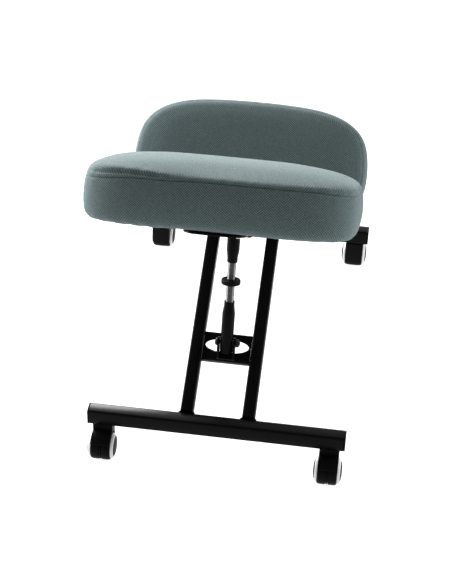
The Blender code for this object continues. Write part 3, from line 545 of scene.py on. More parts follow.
@cache
def finish(key):
    """A finish with fine grain, slow blotches in its colour and scuffs in its gloss."""
    name, (dark, light), rough, scale, bump, more = FINISHES[key]
    material, tree, shader = new_material(name)
    surface = grain(tree, scale)
    low, high, worn = tint(key, dark, light, light * 1.5)
    blotched = mixed(tree, surface["Blotch"], low, high)
    scuffed = mixed(tree, calc(tree, "MULTIPLY", surface["Scuff"], 0.35), blotched, worn)
    gloss = calc(tree, "ADD", ranged(tree, surface["Blotch"], *rough),
                 calc(tree, "MULTIPLY", surface["Scuff"], 0.12))
    feed(tree, shader, {"Base Color": scuffed, "Roughness": gloss,
                        "Normal": bumped(tree, surface["Height"], *bump), **more})
    return material


@cache
def plywood():
    """Rotary-cut birch: long soft grain with a darker figure."""
    material, tree, shader = new_material("Plywood")
    place = add_node(tree, "ShaderNodeTexCoord").outputs["Object"]
    long = add_node(tree, "ShaderNodeMapping", {"Vector": place, "Scale": (1.0, 9.0, 9.0)}).outputs[0]
    figure = noise(tree, long, 9.0, 6, Distortion=0.8)
    feed(tree, shader, {"Base Color": mixed(tree, figure, *tint("board", 0.72, 1.25)),
                        "Roughness": ranged(tree, figure, 0.55, 0.75),
                        "Normal": bumped(tree, figure, 0.25, 0.0005)})
    return material


@cache
def cover_cloth():
    """The pads' woven cover, on a map laid along the cloth in metres, with painted shade darkening it along
    its seams.
    """
    material, tree, shader = new_material("Woven cover")
    cloth_map = add_node(tree, "ShaderNodeUVMap", uv_map="Cloth").outputs["UV"]
    feeds = {"Vector": cloth_map, "Thread": pads().thread_pitch}
    weave = add_node(tree, "ShaderNodeGroup", feeds, node_tree=weave_group()).outputs
    # Painted seam shade: the Seam attribute, written by sew(), darkens the cloth's colour along the seams.
    seam = add_node(tree, "ShaderNodeAttribute", attribute_name="Seam").outputs["Fac"]
    # The weave's tone holds the two-tone weave and painted shade between the threads.
    shade = mixed(tree, weave["Tone"], *tint("fabric", 0.30, 1.70))
    # First a random blotch in the cloth's tone, then painted seam shade that darkens the colour to 0.30 at
    # the seam line.
    for factor, low, high in ((grain(tree, 420, 9)["Blotch"], (0.86, 0.88, 0.88), (1.0, 1.0, 1.0)),
                              (seam, (1.0, 1.0, 1.0), (0.30, 0.30, 0.30))):
        shade = mixed(tree, 1.0, shade, mixed(tree, factor, low, high), "MULTIPLY")
    relief = calc(tree, "MULTIPLY_ADD", weave["Fuzz"], 0.15, weave["Height"])
    feed(tree, shader, {"Base Color": shade, "Roughness": ranged(tree, weave["Fuzz"], 0.82, 0.98),
                        "Sheen Weight": 0.10, "Sheen Roughness": 0.38,
                        "Sheen Tint": (0.84, 0.91, 0.90, 1), "Specular IOR Level": 0.15,
                        "Normal": bumped(tree, relief, 0.45, 0.0005)})
    return material


# Pads

CAGE_AROUND = 24
CAGE_GROWTH = 1.010
SEAM_LEVEL = 5
COVER_AROUND = 320
RIM_STEPS = 40
SEAM_ROLL_END = 0.0125
SEAM_WIDTH = 0.0024
# SEAM_SHADE is the width of the painted shade along a seam.
SEAM_SHADE = 0.0011
ROLL_PLACE, ROLL_WIDTH = 0.0075, 0.0055
GATHER_REACH = 0.011
SEWN_HALF = 0.0012
PIN_REACH = 0.03
HEM_REACH = (0.016, 0.040)


@dataclass
class Pad:
    """One cushion's frame, outline and section, as its CAD solid has them."""

    name: str
    matrix: Matrix
    half_x: float
    front: float
    rear: float
    powers: tuple
    levels: list
    seam: object
    drop: object = None

    def outline(self, inset, count):
        angle = 2 * np.pi * np.arange(count) / count
        c, s = np.cos(angle), np.sin(angle)
        reach = np.where(s >= 0, self.front, self.rear) - inset
        return np.column_stack([
            np.copysign((self.half_x - inset) * np.abs(c) ** (2 / self.powers[0]), c),
            np.copysign(reach * np.abs(s) ** (2 / self.powers[1]), s)])

    def edge(self, inset, count):
        """The outline at an inset, in even steps."""
        return even_loop(self.outline(inset, RIM_STEPS * CAGE_AROUND), count)

    def under(self):
        """The direction out of the pad's underside."""
        return self.matrix.to_3x3() @ Vector((0, 0, -1))

    def cage(self):
        """Control points, level by level, that a smooth surface is drawn through."""
        rings = []
        for inset, height in self.levels:
            ring = self.outline(inset, CAGE_AROUND) * CAGE_GROWTH
            heights = np.full(CAGE_AROUND, height)
            if self.drop:
                heights = self.drop(ring[:, 1] / CAGE_GROWTH, heights)
            rings.append(np.column_stack([ring, heights]))
        top = rings[-1]
        for share in (0.62, 0.25, 0.02):
            inner = top * np.array([share, share, 1.0])
            inner[:, 2] = top[:, 2] * share + top[:, 2].mean() * (1 - share)
            rings.append(inner)
        return np.array(rings)


def cubic(t):
    """The four weights of a uniform cubic B-spline."""
    return ((1 - t) ** 3 / 6, (3 * t ** 3 - 6 * t * t + 4) / 6,
            (-3 * t ** 3 + 3 * t * t + 3 * t + 1) / 6, t ** 3 / 6)


def drawn(cage, rows, turns):
    """Points of the smooth surface over a cage, at places up its section and round it."""
    rows = np.broadcast_to(rows, (len(rows), len(turns)))
    cell, lap = np.floor(rows).astype(int), np.floor(turns).astype(int)
    points = 0
    for up, weight in enumerate(cubic(rows - cell)):
        level = np.clip(cell + up - 1, 0, len(cage) - 1)
        for along, share in enumerate(cubic(turns - lap)):
            points = points + cage[level, (lap + along - 1) % cage.shape[1]] * (weight * share)[..., None]
    return points


def run_of(line):
    """The length of a line of points up to each of them."""
    return np.concatenate([[0], np.cumsum(np.linalg.norm(np.diff(line, axis=0), axis=1))])


def loop_run(loop):
    return run_of(np.concatenate([loop, loop[:1]]))


def paced(loop, count):
    """Places, in steps of a closed loop's points, that lie evenly along its length."""
    run = loop_run(loop)
    return np.interp(np.arange(count) * run[-1] / count, run, np.arange(len(loop) + 1))


def even_loop(loop, count):
    """A closed loop of points, taken again at even steps."""
    places = paced(loop, count)
    cell = np.floor(places).astype(int)
    share = (places - cell)[:, None]
    return loop[cell % len(loop)] * (1 - share) + loop[(cell + 1) % len(loop)] * share


def eased(value, low, high):
    """0 below low, 1 above high and a smooth step between."""
    share = np.clip((value - low) / (high - low), 0, 1)
    return share * share * (3 - 2 * share)


def bell(distance, width):
    return np.exp(-(distance / width) ** 2)


def seat_seam(x):
    """How far the seat's seam lies below the band's upper edge: lowest at the left end."""
    left = 0.0028 * eased(-x, 0.01, 0.08) + 0.0080 * eased(-x, 0.10, 0.21)
    return 0.0058 + left + 0.0040 * eased(x, 0.14, 0.20)


def pad_frame(board, tilt, lean=0.0):
    """The frame of a pad on its board: Y towards its front edge, Z out of its face."""
    fore = Vector((0, math.cos(tilt), -math.sin(tilt)))
    normal = Vector((0, math.sin(tilt), math.cos(tilt)))
    return frame_along(middle(board) - normal * (pads().board_thick / 2) - fore * lean, normal)


def seat_pad():
    """The seat; a level is an inset from the outline and a height."""
    sizes = pads()
    seam, crown, half = sizes.seat_thick, sizes.seat_crown, sizes.seat_depth / 2
    levels = [(0.060, 0), (0.013, 0), (0.002, 0.009), (0, 0.4 * seam), (0.001, 0.76 * seam),
              (0.005, seam - 0.005), (0.015, seam + 0.002), (0.045, seam + crown * 0.58),
              (0.090, seam + crown * 0.88), (0.130, seam + crown)]

    def drop(along, heights):
        share = np.maximum(along, 0) / half
        return heights - sizes.seat_drop * share ** 2.5 * heights / seam

    matrix = pad_frame("seat_board", sizes.seat_tilt)
    return Pad("seat", matrix, sizes.seat_width / 2, half, half, (4.0, 5.0), levels, seat_seam, drop)


def knee_pad():
    sizes = pads()
    upper, lower = sizes.knee_upper, sizes.knee_lower
    seam, crown = sizes.knee_thick, sizes.knee_crown
    levels = [(0.045, 0), (0.012, 0), (0.002, 0.010), (0, 0.5 * seam), (0.002, 0.8 * seam),
              (0.008, seam), (0.016, seam + crown * 0.4), (0.034, seam + crown * 0.75), (0.062, seam + crown)]
    matrix = pad_frame("knee_board", -sizes.knee_tilt, (upper - lower) / 2)
    return Pad("knee", matrix, sizes.knee_width / 2, upper, lower, (3.3, 3.0), levels, np.zeros_like)


def gathers(seed, span, shortest, longest, count=14):
    """A repeatable sum of waves round a seam of the given length, from about -1 to 1."""
    draw = random.Random(seed)
    waves = []
    for _ in range(count):
        turns = max(1, round(span / draw.uniform(shortest, longest)))
        waves.append((turns, draw.uniform(0, 2 * math.pi), draw.uniform(0.5, 1.0)))
    total = math.sqrt(sum(size * size for _, _, size in waves))
    return lambda share: sum(size * np.sin(2 * math.pi * turns * share + phase)
                             for turns, phase, size in waves) / total


def section_stops(cage):
    """Places up a pad's section with their distance past its seam's middle: closer beside the seam."""
    fine = np.linspace(0.66, len(cage) - 1.0, 900)
    run = run_of(drawn(cage, fine[:, None], np.array([0.75 * CAGE_AROUND]))[:, 0])
    run -= np.interp(SEAM_LEVEL, fine, run)
    near = np.array([0.0008, 0.0018, 0.003, 0.0045, 0.0062, 0.0080, 0.0100, SEAM_ROLL_END])
    band = np.arange(-0.0165, run[0], -0.0043)
    top = np.cumsum(np.linspace(0.0045, 0.0105, 60)) + SEAM_ROLL_END
    stops = np.concatenate([band[::-1], -near[::-1], [0], near, top[top < run[-1] - 0.003], [run[-1]]])
    return stops, lambda distance: np.interp(distance, run, fine)


def cover_mesh(pad):
    """A pad's cover, open at two small rings, its rings, their places past the seam and how many hide."""
    sizes = pads()
    around = COVER_AROUND
    cage = pad.cage()
    stops, place_at = section_stops(cage)
    rim = drawn(cage, np.array([[SEAM_LEVEL]]), np.arange(RIM_STEPS * CAGE_AROUND) / RIM_STEPS)[0]
    turns = paced(rim, around) / RIM_STEPS
    shift = pad.seam(drawn(cage, np.array([[SEAM_LEVEL]]), turns)[0][:, 0])
    surface = drawn(cage, place_at(stops[:, None] - bell(stops, 0.045)[:, None] * shift), turns)
    pocket = pad.edge(sizes.board_inset - CLEARANCE, around)
    deep = sizes.board_thick + CLEARANCE
    inside = [(0.02, deep), (0.5, deep), (0.9, deep), (1.0, deep), (1.0, 0)]
    ceiling = [np.column_stack([pocket * share, np.full(around, height)]) for share, height in inside]
    rings = np.concatenate([ceiling, surface])
    faces = grid_faces(len(rings), around, False, True)
    mesh = mesh_from(f"{pad.name}_cover", rings.reshape(-1, 3), faces)
    past = np.concatenate([np.full(len(ceiling), stops[0] - 0.05), stops])
    lay_cloth_map(mesh, rings, past)
    return mesh, rings, past, len(ceiling)


def seam_ring(rings, past):
    return rings[int(np.argmin(np.abs(past)))]


def lay_cloth_map(mesh, rings, past):
    """A map in metres: flat over the top panel, along and across the band and its rolled edge."""
    layer = mesh.uv_layers.new(name="Cloth")
    around = COVER_AROUND
    run = loop_run(seam_ring(rings, past))
    corners = np.empty(len(mesh.loops), int)
    mesh.loops.foreach_get("vertex_index", corners)
    corners = corners.reshape(-1, 4)
    rows, columns = corners // around, corners % around
    wraps = (columns.max(axis=1) - columns.min(axis=1) > around // 2)[:, None]
    along = run[np.where(wraps & (columns == 0), around, columns)]
    flat = rings.reshape(-1, 3)[corners]
    top = (past[rows.min(axis=1)] >= SEAM_ROLL_END - 0.0001)[:, None]
    spots = np.stack([np.where(top, flat[..., 0], along), np.where(top, flat[..., 1], past[rows])], axis=-1)
    layer.data.foreach_set("uv", spots.astype(np.float32).ravel())


def evened(field, along=60, up=8):
    """A field on a cover's rings with its short waves taken out."""
    for _ in range(along):
        field = (np.roll(field, 1, axis=1) + field + np.roll(field, -1, axis=1)) / 3
    for _ in range(up):
        beside = np.concatenate([field[:1], field, field[-1:]])
        field = (beside[:-2] + beside[1:-1] + beside[2:]) / 3
    return field


def place_points(mesh, spots):
    mesh.vertices.foreach_set("co", spots.astype(np.float32).ravel())
    mesh.update()


def swell(cover, pinned, cap, frames=20):
    """Blow a cover up from inside against its pinned points, by no more than cap."""
    group = cover.vertex_groups.new(name="Sewn")
    for index, weight in enumerate(pinned):
        if weight > 0:
            group.add([index], float(weight), "REPLACE")
    start = spots_of(cover.data)
    cloth = modify(cover, "Cover", "CLOTH")
    configure(cloth.settings, quality=6, mass=0.25, tension_stiffness=18, compression_stiffness=18,
              shear_stiffness=8, bending_stiffness=3.0, vertex_group_mass=group.name, use_pressure=True,
              uniform_pressure_force=4, shrink_min=-0.002)
    cloth.settings.effector_weights.gravity = 0
    cloth.collision_settings.use_collision = False
    configure(cloth.point_cache, frame_start=1, frame_end=frames)
    scene = bpy.context.scene
    for frame in range(1, frames + 1):
        scene.frame_set(frame)
    move = spots_of(baked(cover)) - start
    cover.modifiers.clear()
    cover.vertex_groups.clear()
    scene.frame_set(1)
    size = np.linalg.norm(move, axis=1, keepdims=True)
    move *= cap * np.tanh(size / cap) / np.maximum(size, 1e-9)
    move = evened(move.reshape(-1, COVER_AROUND, 3)).reshape(-1, 3) * (1 - np.minimum(pinned, 1))[:, None]
    place_points(cover.data, start + move)


def sew(cover, pad, rings, past, hidden):
    """Draw the seam in, roll and gather the cloth beside it, paint shade along the seam and let the hem sag
    between its staples.
    """
    sizes = pads()
    mesh = cover.data
    is_seat = pad.name == "seat"
    rows = np.repeat(past, COVER_AROUND)
    columns = np.tile(np.arange(COVER_AROUND), len(past)) / COVER_AROUND
    out_of_sight = slice(0, hidden * COVER_AROUND)
    x, y = rings.reshape(-1, 3)[:, :2].T
    span = float(loop_run(seam_ring(rings, past))[-1])
    seed = 11 if is_seat else 23
    upper = gathers(seed, span, 0.013, 0.034)(columns)
    lower = gathers(seed + 6, span, 0.014, 0.038)(columns)
    taut, groove, shown = np.full_like(x, 0.3), 1.0, 1.0
    if is_seat:
        taut = 1 - 0.6 * eased(-x, 0.165, 0.20) - 0.5 * eased(x, 0.150, 0.20)
        groove, shown = 0.8, taut
    lift = -sizes.seam_depth * groove * taut * bell(rows, SEAM_WIDTH)
    lift += sizes.seam_roll * taut * bell(rows - ROLL_PLACE, ROLL_WIDTH)
    waves = np.where(rows > 0, upper, 0.7 * lower)
    lift += sizes.pucker * taut * waves * np.exp(-np.abs(rows) / GATHER_REACH) * (1 - bell(rows, 0.0028))
    if is_seat:
        held = eased(-x, 0.05, 0.11) * eased(0.205 + x, 0.0, 0.04) * (y < 0)
        above_fold = rows - 0.0088 + 0.0045 * eased(x, -0.15, -0.06)
        lift += sizes.crease * held * (0.4 * bell(above_fold - 0.0065, 0.0048) - bell(above_fold, 0.0026))
    lift[out_of_sight] = 0
    normals = np.array([point.normal for point in mesh.vertices])
    spots = spots_of(mesh) + normals * lift[:, None]
    # Painted seam shade: a mask along the seam, weaker at the seat's ends and varied with the gathers, that
    # darkens the cloth's colour.
    shade = shown * (0.85 + 0.15 * lower) * bell(rows, SEAM_SHADE)
    painted_seam_shade = mesh.attributes.new("Seam", "FLOAT", "POINT")
    painted_seam_shade.data.foreach_set("value", np.clip(shade, 0, 1).astype(np.float32))
    hem = 1 - eased(rows - past[hidden], *HEM_REACH)
    hem[out_of_sight] = 0
    pulls = round(span / sizes.staple_pitch)
    wander = gathers(37, span, 0.05, 0.16)(columns)
    sag = np.abs(np.sin(math.pi * pulls * columns + 1.1 + 0.3 * wander)) ** 0.8
    loose = 0.5 + 0.5 * eased(-x, -0.02, 0.10)
    if is_seat:
        plate = bracket_reach()
        loose = loose * np.where(y < 0, eased(np.abs(x), plate, plate + 0.03), 1)
    spots += (sizes.scallop * loose * hem * sag)[:, None] * np.array(pad.under())
    place_points(mesh, spots)


def bracket_reach():
    """Half the width that the seat's bracket keeps free of hem."""
    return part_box("seat_bracket")[1].x + 0.004


def upholster(pad, node, body, cap):
    """Make one pad's cover: form, swelling, seam and hem."""
    mesh, rings, past, hidden = cover_mesh(pad)
    mesh.transform(pad.matrix)
    cover = add_object(f"{pad.name}_cover", mesh, cover_cloth())
    pinned = np.clip(1.25 - (past - past[hidden]) / PIN_REACH, 0, 1)
    pinned[:hidden] = 1
    pinned[np.abs(past) < SEWN_HALF] = 1
    swell(cover, np.repeat(pinned, COVER_AROUND), cap)
    sew(cover, pad, rings, past, hidden)
    modify(cover, "Finer cloth", "SUBSURF", levels=1, render_levels=1)
    result = bake(cover)
    with editing(result) as work:
        rims = [edge for edge in work.edges if edge.is_boundary]
        bmesh.ops.holes_fill(work, edges=rims, sides=0)
        bmesh.ops.recalc_face_normals(work, faces=work.faces)
    result.shade_smooth()
    fit(cover, body, "fabric", node)


class CHAIR_OT_covers(bpy.types.Operator):
    """Upholster the seat and the knee pad"""

    bl_idname = "chair.covers"
    bl_label = "Upholstered Pads"

    def execute(self, context):
        upholster(seat_pad(), "seat_cushion", "seat_frame", pads().swell)
        upholster(knee_pad(), "knee_cushion", "knee_frame", pads().swell * 0.3)
        return {"FINISHED"}


# Geometry Nodes for what repeats

@cache
def along_path_group():
    """Copies of an object set along a path of edges, lying on a plane with the given normal."""
    tree, given, result = new_group(
        "Set Along Path", "GeometryNodeTree",
        [("Geometry", "Geometry"), ("Spacing", "Float", 0.01), ("Up", "Vector", (0, 0, 1)),
         ("Shape", "Object"), ("Jitter", "Float", 0.0), ("Material", "Material")],
        [("Geometry", "Geometry")])
    path = add_node(tree, "GeometryNodeMeshToCurve", {0: given["Geometry"]}).outputs[0]
    feeds = {"Curve": path, "Length": given["Spacing"]}
    spots = add_node(tree, "GeometryNodeCurveToPoints", feeds, mode="LENGTH")
    align = "FunctionNodeAlignRotationToVector"
    follow = add_node(tree, align, {"Vector": spots.outputs["Tangent"]}, axis="X").outputs[0]
    stand = add_node(tree, align, {"Rotation": follow, "Vector": given["Up"]}, axis="Z", pivot_axis="X")
    shape = add_node(tree, "GeometryNodeObjectInfo", {"Object": given["Shape"]}).outputs["Geometry"]
    least, most = (calc(tree, operation, 1.0, given["Jitter"]) for operation in ("SUBTRACT", "ADD"))
    vary = add_node(tree, "FunctionNodeRandomValue", {"Seed": 5, 2: least, 3: most}, data_type="FLOAT")
    copies = add_node(tree, "GeometryNodeInstanceOnPoints", {
        "Points": spots.outputs["Points"], "Instance": shape, "Rotation": stand.outputs[0],
        "Scale": vary.outputs[1]}).outputs[0]
    solid = add_node(tree, "GeometryNodeRealizeInstances", {0: copies}).outputs[0]
    done = add_node(tree, "GeometryNodeSetMaterial", {"Geometry": solid, "Material": given["Material"]})
    feed(tree, result, {0: done.outputs[0]})
    return tree


def repeat_along(name, points, shape, spacing, up, material, body, slot, closed=False, jitter=0.0):
    """Set copies of a small shape along a path, as one plain mesh that rides on a body."""
    count = len(points)
    edges = [(i, (i + 1) % count) for i in range(count if closed else count - 1)]
    piece = add_object(name, mesh_from(name, points, [], edges))
    nodes = modify(piece, "Copies", "NODES", node_group=along_path_group())
    values = {"Spacing": spacing, "Up": tuple(up), "Shape": shape, "Jitter": jitter, "Material": material}
    for item in nodes.node_group.interface.items_tree:
        if item.in_out == "INPUT" and item.name in values:
            nodes[item.identifier] = values[item.name]
    result = soft_edges(bake(piece), 50)
    if not len(result.polygons):
        raise RuntimeError(f"{name} has no copies")
    fit(piece, body, slot)


def rounded_block(name, size, bevel):
    mesh = bpy.data.meshes.new(name)
    with editing(mesh) as work:
        bmesh.ops.create_cube(work, size=1, matrix=Matrix.Diagonal((*size, 1)))
        bmesh.ops.bevel(work, geom=list(work.edges), offset=bevel, segments=1, affect="EDGES")
    return mesh


# Undersides of the pads

HEM_AROUND = 360
HEM_EDGE, HEM_WIDTH = 0.0005, 0.016
HEM_HIGH, HEM_LOW = -0.0003, -0.0008
STAPLE_INSET, STAPLE_LEVEL = 0.007, -0.0011
STAPLE_SIZE, STAPLE_BEVEL = (0.010, 0.0011, 0.0006), 0.0002
BARE_ENDS = 8


def hem_strip(pad, body, gap_half=0.0):
    """The cover's turned-under edge, stapled to the board; it stops beside a bracket at the pad's rear."""
    inset = pads().board_inset
    outer = pad.edge(inset + HEM_EDGE, HEM_AROUND)
    seed = 41 if pad.name == "seat" else 43
    wave = gathers(seed, 1.3, 0.02, 0.06)(np.arange(HEM_AROUND) / HEM_AROUND)
    inner = pad.edge(inset + HEM_WIDTH, HEM_AROUND) * (1 + 0.012 * wave)[:, None]
    keep = (np.abs(inner[:, 0]) >= gap_half) | (inner[:, 1] >= 0)
    points = []
    for out, back in zip(outer, inner):
        points += [(*out, HEM_HIGH), (*out, HEM_LOW), (*back, HEM_LOW), (*back, HEM_HIGH)]
    faces = [face for face in grid_faces(HEM_AROUND, 4, True, True)
             if keep[face[0] // 4] and keep[face[2] // 4]]
    for step in range(HEM_AROUND):
        if keep[step] and not keep[step - 1]:
            faces.append(tuple(4 * step + i for i in (0, 3, 2, 1)))
        if keep[step - 1] and not keep[step]:
            faces.append(tuple(4 * (step - 1) + i for i in range(4)))
    mesh = mesh_from(f"{pad.name}_hem", points, faces)
    with editing(mesh) as work:
        bmesh.ops.delete(work, geom=[v for v in work.verts if not v.link_faces], context="VERTS")
        bmesh.ops.recalc_face_normals(work, faces=work.faces)
    layer = mesh.uv_layers.new(name="Cloth")
    for loop in mesh.loops:
        layer.data[loop.index].uv = mesh.vertices[loop.vertex_index].co.xy
    mesh.transform(pad.matrix)
    fit(add_object(f"{pad.name}_hem", soft_edges(mesh), cover_cloth()), body, "fabric")
    staples(pad, body, keep)


def staples(pad, body, keep):
    """Wire staples through the turned-under edge, clear of its ends."""
    sizes = pads()
    line = pad.edge(sizes.board_inset + STAPLE_INSET, HEM_AROUND)
    whole = bool(keep.all())
    first = 0 if whole else int(np.argmin(keep))
    order = np.roll(np.arange(HEM_AROUND), -first)
    run = [pad.matrix @ Vector((*line[step], STAPLE_LEVEL)) for step in order if keep[step]]
    shape = helper_shape("staple_shape", rounded_block("staple", STAPLE_SIZE, STAPLE_BEVEL))
    if not whole:
        run = run[BARE_ENDS:-BARE_ENDS]
    repeat_along(f"{pad.name}_staples", run, shape, sizes.staple_pitch, pad.under(), finish("zinc"), body,
                 "zinc", whole)
    drop_shape(shape)


class CHAIR_OT_undersides(bpy.types.Operator):
    """Finish the boards and the stapled edges under the pads"""

    bl_idname = "chair.undersides"
    bl_label = "Boards and Hems"

    def execute(self, context):
        for node in ("seat_board", "knee_board"):
            dressed(node, plywood(), 0.0008, 1)
        hem_strip(seat_pad(), "seat_frame", bracket_reach())
        hem_strip(knee_pad(), "knee_frame")
        return {"FINISHED"}


# Frame

def cross_plate():
    """The folded plate between the knee rails, pressed afresh with an oval opening."""
    node = "cross_plate"
    sizes = hardware()
    source = FRAME["nodes"][node].data
    webs = [face for face in source.polygons if face.normal.z > 0.3 and face.normal.y < -0.1]
    up = max(webs, key=lambda face: face.area).normal
    up = Vector((0, up.y, up.z)).normalized()
    along = up.cross(X_AXIS)
    spots = spots_of(source)
    run, rise = spots @ np.array(along), spots @ np.array(up)
    low, high, foot, top = run.min(), run.max() + sizes.plate_raise, rise.min(), rise.max()
    sheet, outer = sizes.plate_sheet, sizes.plate_bend
    inner = outer - sheet
    rear, front = (low + outer, top - outer), (high - outer, top - outer)
    fold = np.linspace(0, 90, 5)
    section = [(low, foot), *arc(rear, outer, 180 - fold), *arc(front, outer, 90 - fold), (high, foot),
               (high - sheet, foot), *arc(front, inner, fold), *arc(rear, inner, 90 + fold),
               (low + sheet, foot)]
    ends = (spots[:, 0].min(), spots[:, 0].max())
    points = [X_AXIS * x + along * a + up * b for x in ends for a, b in section]
    count = len(section)
    faces = grid_faces(2, count, False, True)
    faces += [tuple(range(count))[::-1], tuple(range(count, 2 * count))]
    piece = add_object(f"{node}_finish", outward(mesh_from(node, points, faces)), finish("paint"))
    oval = turned("oval", rod_profile(1, 0.02), Matrix.Identity(4), 72)
    oval.transform(Matrix.Diagonal((sizes.oval_width / 2, sizes.oval_height / 2, 1, 1)))
    centre = along * ((low + high) / 2 + sizes.oval_raise) + up * top
    oval.transform(frame_along(centre, up))
    carve(piece, "Oval", oval)
    round_edges(piece, 0.0007, 2, 40)
    settle(piece, node, 40)


class CHAIR_OT_frame(bpy.types.Operator):
    """Paint the bars, rails, plates and brackets, with rounded edges"""

    bl_idname = "chair.frame"
    bl_label = "Painted Frame"

    def execute(self, context):
        for node in ("rear_bar", "front_bar", "knee_rail_left", "knee_rail_right", "seat_rail_left",
                     "seat_rail_right"):
            dressed(node, finish("paint"), 0.0005)
        for node in ("seat_bracket", "knee_bracket", "lower_clevis"):
            dressed(node, finish("paint"), 0.0008)
        cross_plate()
        for tube in ("rear_bar", "front_bar", "knee_rail"):
            for hand in HANDS:
                dressed(f"{tube}_cap_{hand}", finish("plastic"), 0.0009, 3)
        return {"FINISHED"}


class CHAIR_OT_welds(bpy.types.Operator):
    """Lay weld beads where the rails meet the bars"""

    bl_idname = "chair.welds"
    bl_label = "Weld Beads"

    def execute(self, context):
        bead = hardware().bead
        inset = bead * 0.3
        mesh = bpy.data.meshes.new("bead")
        with editing(mesh) as work:
            bmesh.ops.create_uvsphere(work, u_segments=8, v_segments=6, radius=bead,
                                      matrix=Matrix.Diagonal((0.75, 1.25, 0.8, 1)))
        shape = helper_shape("bead_shape", mesh)
        rear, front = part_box("rear_bar")[1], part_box("front_bar")

        def up_the_bar(foot):
            return [(rear.y + inset, foot + 0.004), (rear.y + inset, rear.z - 0.001)]

        def over_the_bar(foot):
            top = front[1].z + inset
            return [(front[0].y + 0.003, top), (front[1].y - 0.002, top)]

        for bar, rail, words, ends, up in (("rear", "knee", ("outer", "inner"), up_the_bar, (0, 1, 0)),
                                           ("front", "seat", ("a", "b"), over_the_bar, (0, 0, 1))):
            for hand in HANDS:
                low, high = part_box(f"{rail}_rail_{hand}")
                for word, x in zip(words, (low.x - inset, high.x + inset)):
                    line = [(x, *end) for end in ends(low.z)]
                    repeat_along(f"weld_{bar}_{hand}_{word}", line, shape, bead * 0.72, up, finish("paint"),
                                 f"{rail}_frame", "frame_paint", jitter=0.12)
        drop_shape(shape)
        return {"FINISHED"}


# Hardware

class CHAIR_OT_bolts(bpy.types.Operator):
    """Finish the bolts, nuts, washers and spacers"""

    bl_idname = "chair.bolts"
    bl_label = "Bolts and Bushes"

    def execute(self, context):
        for name in PIN_RADII:
            self.bolt(name)
            dressed(f"{name}_nut", finish("oxide"), 0.0006, 2)
        for node in ("pivot_spacer", "pivot_washer_left", "pivot_washer_right", "upper_spacer_left",
                     "upper_spacer_right"):
            self.ring(node)
        return {"FINISHED"}

    def bolt(self, name):
        """A bolt with a domed head on the left and a threaded end on the right."""
        node = f"{name}_bolt"
        low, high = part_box(node)
        head = (high.z - low.z) / 2
        radius = PIN_RADII[name]
        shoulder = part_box(HEAD_SEATS[name])[0].x - CLEARANCE
        thick = shoulder - low.x
        profile = [(0, low.x), (head * 0.45, low.x), (head * 0.80, low.x + 0.18 * thick),
                   (head, low.x + 0.62 * thick), (head, shoulder), (radius, shoulder),
                   (radius, high.x - radius * 0.2), (radius * 0.8, high.x), (0, high.x)]
        mesh = turned(node, rounded(profile, 0.0006, 3), across(on_plane(f"{name}_nut")), 40)
        stand_in(node, mesh, finish("oxide"))

    def ring(self, node):
        low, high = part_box(node)
        bore = PIN_RADII[node.split("_")[0]] + CLEARANCE
        profile = rounded(tube_profile(bore, (high.z - low.z) / 2, low.x, high.x), 0.0004, 2, True)
        stand_in(node, turned(node, profile, across(on_plane(node)), 40, True), finish("nylon"))


def thread_mesh(sizes):
    """The rod: a right-hand thread above the hand wheel, a left-hand one below, plain in the middle."""
    segments, per_pitch = 32, 6
    pitch, outer, half = sizes.screw_pitch, sizes.rod_radius, sizes.rod_half
    relief = 0.28 * pitch
    root = outer - relief
    collar = sizes.grip_thick / 2 + 0.002
    rows = int(2 * half / pitch * per_pitch)
    height = np.linspace(-half, half, rows + 1)[:, None]
    turn = np.arange(segments)[None] / segments
    hand = np.where(height >= 0, 1, -1)
    crest = np.abs(2 * ((height / pitch - hand * turn) % 1) - 1)
    radius = root + relief * np.clip(1.8 * crest - 0.25, 0, 1)
    radius = np.where(np.abs(height) < collar, outer, radius)
    ends = (half - np.abs(height)) / (0.8 * pitch)
    radius = np.minimum(radius, root + relief * np.maximum(0, ends) - 0.0004 * (ends < 0.2))
    angle = 2 * np.pi * turn
    spots = np.stack([radius * np.cos(angle), radius * np.sin(angle), height + 0 * angle], axis=-1)
    matrix = frame_along(HAND_WHEEL_PLACE, SCREW_DIR)
    faces = grid_faces(rows + 1, segments, False, True)
    faces += [tuple(range(segments))[::-1], tuple(range(rows * segments, (rows + 1) * segments))]
    points = [matrix @ Vector(spot) for spot in spots.reshape(-1, 3)]
    return soft_edges(outward(mesh_from("screw_rod", points, faces)), 60)


def sleeve(node, pin, direction, eye_radius):
    """A turnbuckle sleeve turned afresh from its CAD outline, with an eye for its pin."""
    rise = (spots_of(FRAME["nodes"][node].data) - np.array(pin)) @ np.array(direction)
    top, tail = rise.max(), rise.min()
    body, neck, floor = 0.011, 0.009, 0.012
    lead, chamfer, collar, taper = 0.001, 0.0007, 0.0073, 0.0146
    bore = hardware().rod_radius + CLEARANCE
    profile = [(0, floor), (bore, floor), (bore, top - lead), (bore + chamfer, top), (neck, top),
               (neck, top - collar), (body, top - collar - taper), (body, tail), (0, tail)]
    mesh = turned(node, rounded(profile, 0.0013, 3), frame_along(pin, direction), 56)
    piece = add_object(f"{node}_finish", mesh, finish("paint"))
    carve(piece, "Eye", turned("eye", rod_profile(eye_radius, 0.02)[::-1], across(pin), 40))
    settle(piece, node, 38)


